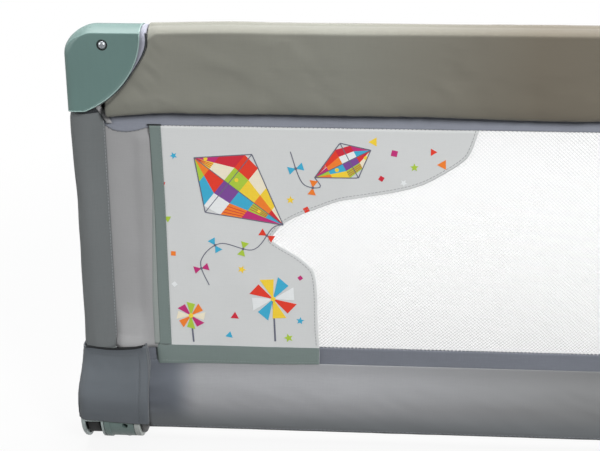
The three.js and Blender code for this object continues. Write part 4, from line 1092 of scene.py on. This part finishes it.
def right_place(along, across, y):
    return (HALF_MM - 82 - across, y, along)


LONG = (-BINDING_END, BINDING_END)
UPRIGHT = (109, WINDOW_HIGH + 1)
for name, node, width, place, (low, high), seed, look in (
        ("binding_lower", "binding_bottom", 20, bottom_place, LONG, 31, "binding_cloth"),
        ("binding_upper", "binding_top", BINDING_TOP, top_place, LONG, 32, "upper_binding_cloth"),
        ("binding_at_left", "binding_left", 11, left_place, UPRIGHT, 33, "binding_cloth"),
        ("binding_at_right", "binding_right", 11, right_place, UPRIGHT, 34, "binding_cloth")):
    strip = binding(name, node, width, place, low, high, seed, look)
    edge_stitches(name + "_stitches", place, low + 3, high - 3, width - 0.6)
# Bar tacks where the side tape meets the upper binding: real stitching, its near-black colour
# painted shade for the gap there
tacks = [[(side * (HALF_MM - 79.5 - 0.35 * i), *((-3.1, 348.3 + 0.9) if i % 2 else (-2.9, 348.3)))
          for i in range(40)] for side in (-1, 1)]
thread("bar_tacks", tacks, 0.75, "binding_fabric", "bar_thread")


# Printed patch in front of the left side of the net
PATCH_LEFT = 70.5
PATCH_WIDE = 333
PATCH_TOP = WINDOW_HIGH - 0.3
PATCH_DROP = 257.4
PATCH_FRONT = 3.35
PATCH_EDGE = [
    (1, 0), (0.981, 0.082), (0.96, 0.121), (0.912, 0.166), (0.846, 0.215), (0.772, 0.245),
    (0.674, 0.27), (0.599, 0.288), (0.528, 0.323), (0.467, 0.357), (0.422, 0.395), (0.394, 0.443),
    (0.391, 0.456), (0.422, 0.484), (0.467, 0.519), (0.503, 0.557), (0.523, 0.592), (0.532, 0.674),
    (0.535, 0.819), (0.541, 0.921), (0.541, 1)]
EDGE_LINE = spline(PATCH_EDGE, 6)
PATCH_MARGIN = [(90, 81), (110.5, 81), (112.6, 75.4), (161, 75), (271, 79.6), (348, 81.2)]


def patch_y(u, z):
    """The front face of the patch, with its slow waves."""
    waves = 0.42 * soft(u / 55, 1, z / 120, 41) + 0.28 * soft(u / 26, 2, z / 48, 42)
    return -PATCH_FRONT - waves


def on_patch(path, proud):
    """Points of (u, z) laid on the patch."""
    return [(u, patch_y(u, z) - proud, z) for u, z in path]


def patch_point(across, down, share):
    z = PATCH_TOP - PATCH_DROP * down
    left = straight_value(PATCH_MARGIN, z)
    u = mix(left, PATCH_LEFT + PATCH_WIDE * across, share)
    return (u, patch_y(u, z) + 0.4 + 1.7 * (1 - smooth(u, left, left + 4)), z)


def inset_edge(distance):
    """The patch's curved edge, moved into the patch."""
    line = resample([Vector((PATCH_LEFT + PATCH_WIDE * a, PATCH_TOP - PATCH_DROP * d))
                     for a, d in EDGE_LINE], 3)
    return [spot + beside(heading(line, i).normalized()) * distance for i, spot in enumerate(line)]


# The print: patchwork kites, pinwheels and scattered shapes, each a thin layer on the patch
class Print:
    def __init__(self):
        self.points = []
        self.faces = []
        self.colours = []
        self.names = list(PRINTS)

    def shape(self, outline, colour, lift=0.1):
        """A flat shape in the patch's own millimetres, from its left and down from its top."""
        start = len(self.points)
        self.points += on_patch([(PATCH_LEFT + across, PATCH_TOP - down)
                                 for across, down in outline], lift)
        self.faces.append(tuple(range(start, start + len(outline))))
        self.colours.append(self.names.index(colour))

    def line(self, path, width, colour, lift=0.14):
        spots = resample(path, 2.5)
        for a, b in zip(spots, spots[1:]):
            along = (b - a).normalized()
            out = beside(along) * width / 2
            tip = along * 0.15
            self.shape([a + out - tip, b + out + tip, b - out + tip, a - out - tip], colour, lift)

    def dot(self, radius, corners, centre, colour, lift):
        self.shape(spun(ring(radius, 0, 0, corners), centre, 0), colour, lift)

    def finish(self, name):
        obj = make(name, self.points, self.faces, -1, solid=False)
        for colour in self.names:
            obj.data.materials.append(PRINTS[colour])
        obj.data.polygons.foreach_set("material_index", self.colours)
        work = bmesh.new()
        work.from_mesh(obj.data)
        for face in work.faces:
            if face.normal.y > 0:
                face.normal_flip()
        work.to_mesh(obj.data)
        work.free()
        modify(obj, "SOLIDIFY", 30, thickness=0.1 * MM, offset=1)
        return settle(obj, "panel", "patch_fabric")


def spun(points, centre, degrees):
    c, s = math.cos(math.radians(degrees)), math.sin(math.radians(degrees))
    return [Vector((centre[0] + x * c - y * s, centre[1] + x * s + y * c)) for x, y in points]


def kite(art, centre, degrees, long, wide, rows, colours):
    """A kite sewn from patches. Its long axis points down before it is turned."""
    nose, tail = -0.38 * long, 0.62 * long
    columns = 4

    def corner(r, c):
        y = mix(nose, tail, r / rows)
        half = wide / 2 * (y - nose) / -nose if y < 0 else wide / 2 * (1 - y / tail)
        return (half * (2 * c / columns - 1), y)

    for order in range(rows * columns):
        r, c = divmod(order, columns)
        cell = [corner(r, c), corner(r, c + 1), corner(r + 1, c + 1), corner(r + 1, c)]
        corners = spun(cell, centre, degrees)
        unique = [p for k, p in enumerate(corners) if (p - corners[k - 1]).length > 0.4]
        if len(unique) < 3:
            continue
        art.shape(unique, colours[order % len(colours)])
        if order % 5 == 2:
            for k in (0.25, 0.5, 0.75):
                ends = [corners[0].lerp(corners[1], k), corners[3].lerp(corners[2], k)]
                art.line(ends, 0.7, "crimson", 0.17)
        if order % 7 == 3:
            art.dot(2.1, 8, sum(corners, Vector((0, 0))) / 4, "yellow", 0.17)
    for line in ([(0, nose), (0, tail)], [(-wide / 2, 0), (wide / 2, 0)]):
        art.line(spun(line, centre, degrees), 0.8, "ink", 0.2)
    rim = [(0, nose), (wide / 2, 0), (0, tail), (-wide / 2, 0), (0, nose)]
    art.line(spun(rim, centre, degrees), 1.0, "ink", 0.2)
    return spun([(0, tail)], centre, degrees)[0]


def tail_line(art, points, bows):
    """A kite's tail with bows on it."""
    line = resample(spline([tuple(p) for p in points], 12), 2)
    art.line(line, 0.9, "ink")
    for k, colour in enumerate(bows):
        at = min(round(len(line) * (k + 0.7) / (len(bows) + 0.4)), len(line) - 2)
        along = (line[at + 1] - line[at]).normalized()
        turn = math.degrees(math.atan2(along.y, along.x)) + 90
        for way in (1, -1):
            bow = [(0, 0), (7.5 * way, -4.2), (7.5 * way, 4.2)]
            art.shape(spun(bow, line[at], turn), colour, 0.18)
        art.dot(1.5, 8, line[at], "ink", 0.22)


def pinwheel(art, centre, radius, turn, colours, stick):
    art.line([Vector(centre), Vector((centre[0] + 2, centre[1] + stick))], 1.8, "ink")
    blade = [(0, 0), (radius, 0), (radius * 0.72, radius * 0.5)]
    for k in range(8):
        art.shape(spun(blade, centre, turn + 45 * k), colours[k % len(colours)], 0.16 + 0.01 * k)
    art.dot(2.6, 12, centre, "yellow", 0.3)


KITE_COLOURS = ["lime", "orange", "yellow", "magenta", "cyan", "red", "cream", "crimson", "white",
                "purple", "lime", "red", "orange", "cyan", "yellow", "cream", "magenta"]
SCATTERED = [
    (34, 30, "cyan"), (26, 96, "lime"), (30, 134, "orange"), (100, 150, "yellow"),
    (92, 202, "crimson"), (160, 158, "magenta"), (148, 226, "lime"), (86, 224, "cyan"),
    (252, 24, "magenta"), (272, 38, "lime"), (290, 22, "red"), (240, 50, "crimson"),
    (262, 54, "white"), (300, 34, "orange"), (166, 84, "red"), (150, 74, "yellow"), (22, 60, "red"),
    (30, 168, "white"), (160, 206, "cyan"), (232, 12, "yellow")]


def scattered_outline(kind, size):
    """A star, a triangle or a diamond."""
    if kind == 0:
        return [(size * (1 if i % 2 == 0 else 0.45) * math.cos(TURN * i / 10),
                 size * (1 if i % 2 == 0 else 0.45) * math.sin(TURN * i / 10)) for i in range(10)]
    if kind == 1:
        return [(-size, size * 0.7), (size, size * 0.7), (0, -size)]
    return [(-size * 0.8, 0), (0, -size * 0.8), (size * 0.8, 0), (0, size * 0.8)]


def draw_print():
    art = Print()
    tip = kite(art, (88, 58), -52, 112, 78, 6, KITE_COLOURS)
    tail_line(art, [tip, (132, 104), (112, 128), (78, 122), (58, 142), (66, 168)],
              ["red", "lime", "cyan", "magenta"])
    tip = kite(art, (208, 32), 62, 62, 40, 4, KITE_COLOURS[3:] + KITE_COLOURS[:3])
    tail_line(art, [tip, (180, 60), (162, 56), (150, 24)], ["orange", "cyan"])
    pinwheel(art, (132, 182), 25, 12, ["red", "yellow", "cyan", "white"], 48)
    pinwheel(art, (46, 203), 16, 30, ["magenta", "lime", "orange", "cream"], 30)
    rng = random.Random(7)
    for k, (x, y, colour) in enumerate(SCATTERED):
        turn = rng.uniform(0, 90)
        size = rng.uniform(3.6, 5.4)
        art.shape(spun(scattered_outline(k % 3, size), (x, y), turn), colour)
    return art.finish("patch_print")


def tape(name, left, right, lift, look, seed, columns=10, tuck=0.0):
    """A strip sewn on the patch, between two lines of (u, z) points, its left edge tucked back."""
    one, other = resample(left, 2.5), resample(right, 2.5)
    count = max(len(one), len(other))
    rows = []
    for t in shares(count - 1):
        a, b = (line[round(t * (len(line) - 1))] for line in (one, other))
        start = a.x if tuck > 2 else 78
        row = []
        for s in shares(columns):
            u, z = a.lerp(b, s)
            proud = lift + 0.22 * math.sin(math.pi * s) + 0.12 * soft(u / 8, 1, z / 8, seed)
            row.append((u, patch_y(u, z) - proud + tuck * (1 - smooth(u, start, start + 4)), z))
        rows.append(row)
    return cloth(name, rows, 0.4, "patch_fabric", look, side=-1)


patch_rows = [[patch_point(*place, share) for share in shares(100)] for place in EDGE_LINE]
patch_cloth = cloth("patch", patch_rows, 0.8, "patch_fabric", "patch_cloth", "printed_patch",
                    side=-1)
patch_print = draw_print()
edge_path = on_patch([p for p in inset_edge(3.0) if p.y > WINDOW_LOW], 0.06)
patch_threads = thread("patch_stitches", stitch_paths([edge_path], 2.4, 1.3), 0.3,
                       "patch_fabric", "thread", -1)
margin_tape = tape("patch_margin_tape",
                   [(80.8, 347.8), (79.2, 271), (76.3, 210), (74.4, 161), (74.4, 111.2)],
                   [(84, 347.8), (85, 271), (85, 210), (85, 161), (85, 111.2)],
                   0.15, "margin_cloth", 50, 12, 2.2)
side_tape = tape("patch_side_tape",
                 [(81.4, 348), (83.2, 271), (82.9, 210), (82.6, 161), (82.7, 115), (81.2, 110.4)],
                 [(92.8, 348), (94.3, 271), (94.5, 210), (94.7, 161), (94.9, 115), (94.9, 110.4)],
                 0.4, "sage_cloth", 51)
foot_tape = tape("patch_foot_tape", [(79, 88.9), (250.6, 92)], [(77.9, 110.8), (250.6, 111)],
                 0.55, "sage_cloth", 52, 60, 2.0)
foot_line = [(u, patch_y(u, 92.4) - 0.8, 92.4 + (u - 84) / 100) for u in (84, 120, 170, 210, 249)]
side_line = on_patch([(91.6, 346), (93.2, 271), (93.4, 210), (93.6, 161), (93.7, 114)], 0.8)
tape_threads = thread("tape_stitches", stitch_paths([foot_line, side_line]), 0.24,
                      "patch_fabric", "sage_thread", -1)


# Lower band: cloth hung round the lower tube
BAND_END = HALF_MM - 66.9
BAND_SIDE = [(2.7, 1), (4.2, 0.86), (8.8, 0.68), (10.8, 0.54), (10.6, 0.4), (9, 0.25), (6.2, 0.12),
             (3.4, 0.04), (0, 0)]
BAND_LOW = 10
BAND_HIGH = 92
BAND_HALF = spline([(y, mix(BAND_LOW, BAND_HIGH, z)) for y, z in BAND_SIDE], 6)
BAND_LINE = [(-y, z) for y, z in BAND_HALF] + list(reversed(BAND_HALF[:-1]))


def band_point(x, y, z):
    """A point of the band's cloth with its folds, its hem and its gathered ends."""
    face = 1 if y >= 0 else -1
    folds = (0.9 * soft(x / 60, face * 2, z / 30, 61)
             + 0.45 * soft((x + 1.5 * z) / 20, face, z / 18, 62))
    slack = smooth(z, 86, 60) * smooth(abs(y), 1, 6)
    hem = 0.35 * hill(z, 15.4, 1.2)
    gather = 0.8 * hill(BAND_END - abs(x), 0, 14) * soft(z / 7, face, 1, 63)
    lift = 0.4 * soft(x / 30, face, 3, 64) * smooth(z, 40, 12)
    return (x, y + face * (folds * slack * 0.8 - hem + gather), z + lift)


band_rows = [[band_point(mix(-BAND_END, BAND_END, share), y, z) for y, z in BAND_LINE]
             for share in shares(170)]
lower = cloth("lower_cloth", band_rows, 0.9, "grey_fabric", "band_cloth", "lower_band")
hem_lines = [[(x, y, 15.2) for x in (-BAND_END + 4, 0, BAND_END - 4)] for y in (-6.6, 6.6)]
band_threads = thread("lower_stitches", stitch_paths(hem_lines, 2.8, 1.6), 0.26,
                      "grey_fabric", "binding_thread")


# Cuffs over the hinges
CUFF_FRONT = [(0, 37.6), (0.16, 38), (0.34, 36.4), (0.55, 29.6), (0.75, 21.4), (0.9, 17.4),
              (1, 16.9)]
CUFF_OUTER = [(0, -1.0), (0.42, -0.8), (0.55, 0.1), (0.66, 0.9), (0.78, 1.7), (0.88, 2.2), (1, 2.6)]
CUFF_INNER = [(0, 73.4), (0.5, 73.4), (0.8, 71.4), (1, 69.2)]
CUFF_TOP = [(-2, 111.6), (9, 111.4), (33, 109.2), (57, 110.6), (66, 112.6), (75, 113)]
CUFF_HEM = 62.6
CUFF_ROWS = 64
CUFF_COLUMNS = 120


def cuff_line(share):
    """The cuff's line at a height, from its back end round the outer side to its front end, in
    (u, y)."""
    front, outer, inner = (curve_value(table, share)
                           for table in (CUFF_FRONT, CUFF_OUTER, CUFF_INNER))
    corner = mix(9.5, 8, share)
    closed = mix(5 - front, -6.4, smooth(share, 0.45, 0.75))
    line = [(35, front - 0.5), (28, front), (outer + corner + 6, front)]
    for y, start in ((front - corner, QUARTER), (corner - front, math.pi)):
        for angle in (start + QUARTER * turn for turn in shares(5)):
            line.append((outer + corner + corner * math.cos(angle), y + corner * math.sin(angle)))
    line += [(outer + corner + 6, -front), (36, -front), (52, -front), (inner - 6, -front),
             (inner - 2, 0.4 - front), (inner - 0.3, 2 - front), (inner, closed)]
    return line


def cuff_height(u, share):
    """The height of a point of the cuff, whose edges aren't quite level."""
    return mix(37.4 - 0.062 * max(0, u), curve_value(CUFF_TOP, u), share)


def cuff_point(spot, out, s, share, side):
    """A point of the cuff with its folds, its hems and its gathers."""
    z = cuff_height(spot.x, share)
    fold = (0.9 * soft(s * 6, 2, z / 55, 71 + side)
            + 0.45 * soft(s * 11 + z / 60, 1, z / 30, 72 + side))
    pull = 0.7 * soft((s * 120 + z) / 16, 3, (s * 120 - z) / 60, 76 + side) * smooth(z, 60, 80)
    front = smooth(-spot.y, 8, 12)
    seam = CUFF_HEM - 0.8 * share
    hem = 0.45 * smooth(share, 0.925, 0.945)
    hem += 0.8 * smooth(spot.x, seam, seam + 1.6) * front * (1 - smooth(share, 0.9, 0.96))
    gather = soft(s * 95, 1, z / 7, 73) * smooth(share, 0.88, 1) * smooth(spot.x, 56, 62) * front
    calm = (1 - 0.6 * smooth(spot.x, 14, 3)) * smooth(share, 0.02, 0.2) * smooth(share, 0.97, 0.8)
    push = (fold + pull) * calm + hem + 0.9 * gather
    return (spot.x + out.x * push * 0.8, spot.y + out.y * push,
            z + 1.2 * gather * smooth(share, 0.9, 1))


def cuff_row(share, side):
    line = resample([Vector((u, y, 0)) for u, y in spline(cuff_line(share), 3)], 1.8)
    line = resample(line, sum((b - a).length for a, b in zip(line, line[1:])) / CUFF_COLUMNS)
    row = []
    for i in range(CUFF_COLUMNS + 1):
        k = min(i, len(line) - 1)
        out = beside(heading(line, k)).normalized() * -1
        row.append(cuff_point(line[k], out, i / CUFF_COLUMNS, share, side))
    return row


def shade_lining_point(along, across):
    u = mix(7, 66, along)
    reach = (0, 0.2, 0.5, 1)[round(across * 3)]
    return (u, mix(5.4, 7, smooth(u, 34, 38)) * reach - curve_value(CUFF_FRONT, 1) - 0.9,
            cuff_height(u, 1) + 0.5 - 0.9 * reach)


def cuff_stitches():
    """The two lines of stitches on the front of a cuff."""
    places = [[(u, u, 0.93) for u in (11, 20, 33, 45, 57)],
              [(CUFF_HEM + 1.6 - 1.5 * smooth(share, 0.6, 1), 64, share)
               for share in (mix(0.9, 0.03, down) for down in shares(29))]]
    return stitch_paths([[(u, -curve_value(CUFF_FRONT, share) - 0.95, cuff_height(at, share))
                          for u, at, share in line] for line in places], 2.2, 1.1)


for end, side in SIDES.items():
    cuff = cloth(end + "_cuff", [cuff_row(share, side) for share in shares(CUFF_ROWS)], 1.0,
                 "cuff_fabric", "cuff_cloth", end + "_hinge_cuff", side=side)
    # A near-black sheet inside each cuff's top: painted shade where the hollow cuff is dark
    shade_lining = cloth(end + "_cuff_lining", grid(40, 3, shade_lining_point), 0.6,
                   "cuff_fabric", "lining_cloth", side=side)
    seams = thread(end + "_cuff_stitches", cuff_stitches(), 0.24,
                   "cuff_fabric", "cuff_thread", side)
    for piece in (cuff, shade_lining, seams):
        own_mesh(piece)


# Hinge pieces with rounder forms than the frame's
LEG = (46.6, 12.5)
HOUSING = rounded([(24.6, 19.8), (24.6, 36), (30.3, 36), (30.3, 34.8), (56, 34.8), (56, 12.6),
                   (44.5, 12.6), (44.5, 14.2), (36, 14.2), (36, 19.8)], 0.9)
HOUSING_FOOT = rounded([(37.6, -4), (55.6, -4), (55.6, 30), (37.6, 30)], 3)
BUSH = rounded([(44.5, 9.8), (44.5, 12.3), (56.3, 12.3), (56.3, 34.8), (62.4, 34.8), (62.4, 9.8)],
               0.8)
COLLAR = rounded([(62.9, 9.7), (62.9, 31), (65.7, 31), (65.7, 9.7)], 0.7)
SHADE_LINER = rounded([(6.6, 27), (6.6, 31.6), (18.8, 31.6), (18.8, 27)], 0.6)
COIL_TURNS = 4
COIL = [(mix(30.6, 43.4, share), 12.3 * math.cos(COIL_TURNS * TURN * share),
         PIVOT + 12.3 * math.sin(COIL_TURNS * TURN * share)) for share in shares(96)]
PIPE = [(8, -12.6), (8, 395.5), (6.8, 395.5), (6.8, -12.6)]
LEG_CAP = rounded([(35.1, 0), (58.1, 0), (58.1, 25), (35.1, 25)], 4, 5)

for end, side in SIDES.items():
    leg = end + "_leg"
    housing = turned(end + "_housing", HOUSING, side)
    cut(housing, prism("foot", "z", HOUSING_FOOT, 0, 14, side), "UNION")
    cut(housing, prism("socket", "y", ring(8.3, *LEG, 40), -13, 60, side))
    cut(housing, prism("hole", "y", ring(3.2, 46.8, 28.4, 28), -40, -22, side))
    cut(housing, prism("head", "z", ring(3.9, LEG[0], 16, 28), -3, 2.2, side))
    settle(housing, leg, "teal_plastic", end + "_base_housing")
    settle(turned(end + "_bush", BUSH, side), leg, "light_plastic", end + "_bearing_bush")
    settle(turned(end + "_collar", COLLAR, side), "panel", "black_plastic", end + "_end_collar")
    # A near-black ring in the hinge's hollow: painted shade for the dark cavity
    settle(turned(end + "_hinge_liner", SHADE_LINER, side), "panel", "black_plastic", look="cavity")
    spring = tubes(end + "_lock_coil", [COIL], 0.8, 8, side, 0.9)
    settle(spring, leg, "zinc_screw", end + "_lock_spring")
    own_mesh(spring)
    pipe = turned(end + "_leg_pipe", PIPE, side, 40, LEG)
    settle(pipe, leg, "steel_tube", end + "_leg_tube")
    cap = prism(end + "_leg_cap", "y", LEG_CAP, 374, 400, side)
    modify(cap, "BEVEL", SHARP, width=0.9 * MM, segments=3, limit_method="ANGLE",
           angle_limit=math.radians(40), use_clamp_overlap=True)
    cut(cap, prism("bore", "y", ring(8.2, *LEG, 40), 370, 396, side))
    settle(cap, leg, "black_plastic", end + "_leg_end_cap")

# Every node that stays gets its finish
for row in frame["record"].get("materials", []):
    for name in row.get("nodes", []):
        node = frame["nodes"].get(name)
        if node and row["slot"] in LOOKS:
            paint(node, row["slot"])


# Floor, lamps and world
def make_floor():
    f = Finish("floor_finish")
    white = (1, 1, 1, 1)
    lit = f.add("BsdfDiffuse", {"Color": (0.42, 0.42, 0.42, 1)})
    dull = f.add("BsdfDiffuse", {"Color": (0.05, 0.05, 0.05, 1)})
    glow = f.add("Emission", {"Color": white, "Strength": 1.0})
    near = f.add("MixShader", {0: 0.9, 1: lit.outputs[0], 2: glow.outputs[0]})
    spot = f.add("VectorMath", {0: f.place, 1: (0.0, 0.1, 0.0)}, operation="ADD").outputs[0]
    far = f.add("VectorMath", {0: spot}, operation="LENGTH").outputs[1]
    share = f.ranged(far, 0.7, 1.3)
    bright = f.add("MixShader", {0: share, 1: near.outputs[0], 2: glow.outputs[0]})
    f.close(f.add("MixShader", {0: f.seen(), 1: dull.outputs[0], 2: bright.outputs[0]}))
    mesh = bpy.data.meshes.new("floor")
    mesh.from_pydata([(-9, -9, 0), (9, -9, 0), (9, 9, 0), (-9, 9, 0)], [], [(0, 1, 2, 3)])
    floor = link("floor", mesh)
    floor.location.z = -0.0005
    mesh.materials.append(f.material)


def make_world():
    scene_world = bpy.data.worlds.new("world")
    bpy.context.scene.world = scene_world
    w = Nodes(scene_world)
    strength = w.ranged(w.seen(), 0.0, 1.0, 0.176)
    back = w.add("Background", {"Color": (1, 1, 1, 1), "Strength": strength})
    w.add("OutputWorld", {0: back.outputs[0]})


def lamp(name, place, target, size, power):
    data = bpy.data.lights.new(name, "AREA")
    data.shape = "RECTANGLE"
    data.size, data.size_y = size
    data.energy = power
    obj = link(name, data)
    obj.location = place
    obj.rotation_mode = "QUATERNION"
    obj.rotation_quaternion = (Vector(target) - Vector(place)).to_track_quat("-Z", "Y")


make_floor()
make_world()
lamp("overhead", (0, 0.3, 2.4), (0, -0.1, 0), (3.2, 1.8), 122)
lamp("key", (1.5, -2.5, 1.75), (-0.1, -0.18, 0.25), (0.9, 0.9), 94)
lamp("fill", (-2.2, -1.4, 1.2), (-0.3, -0.18, 0.25), (1.2, 1.2), 19)

bpy.context.scene.view_settings.view_transform = "Standard"
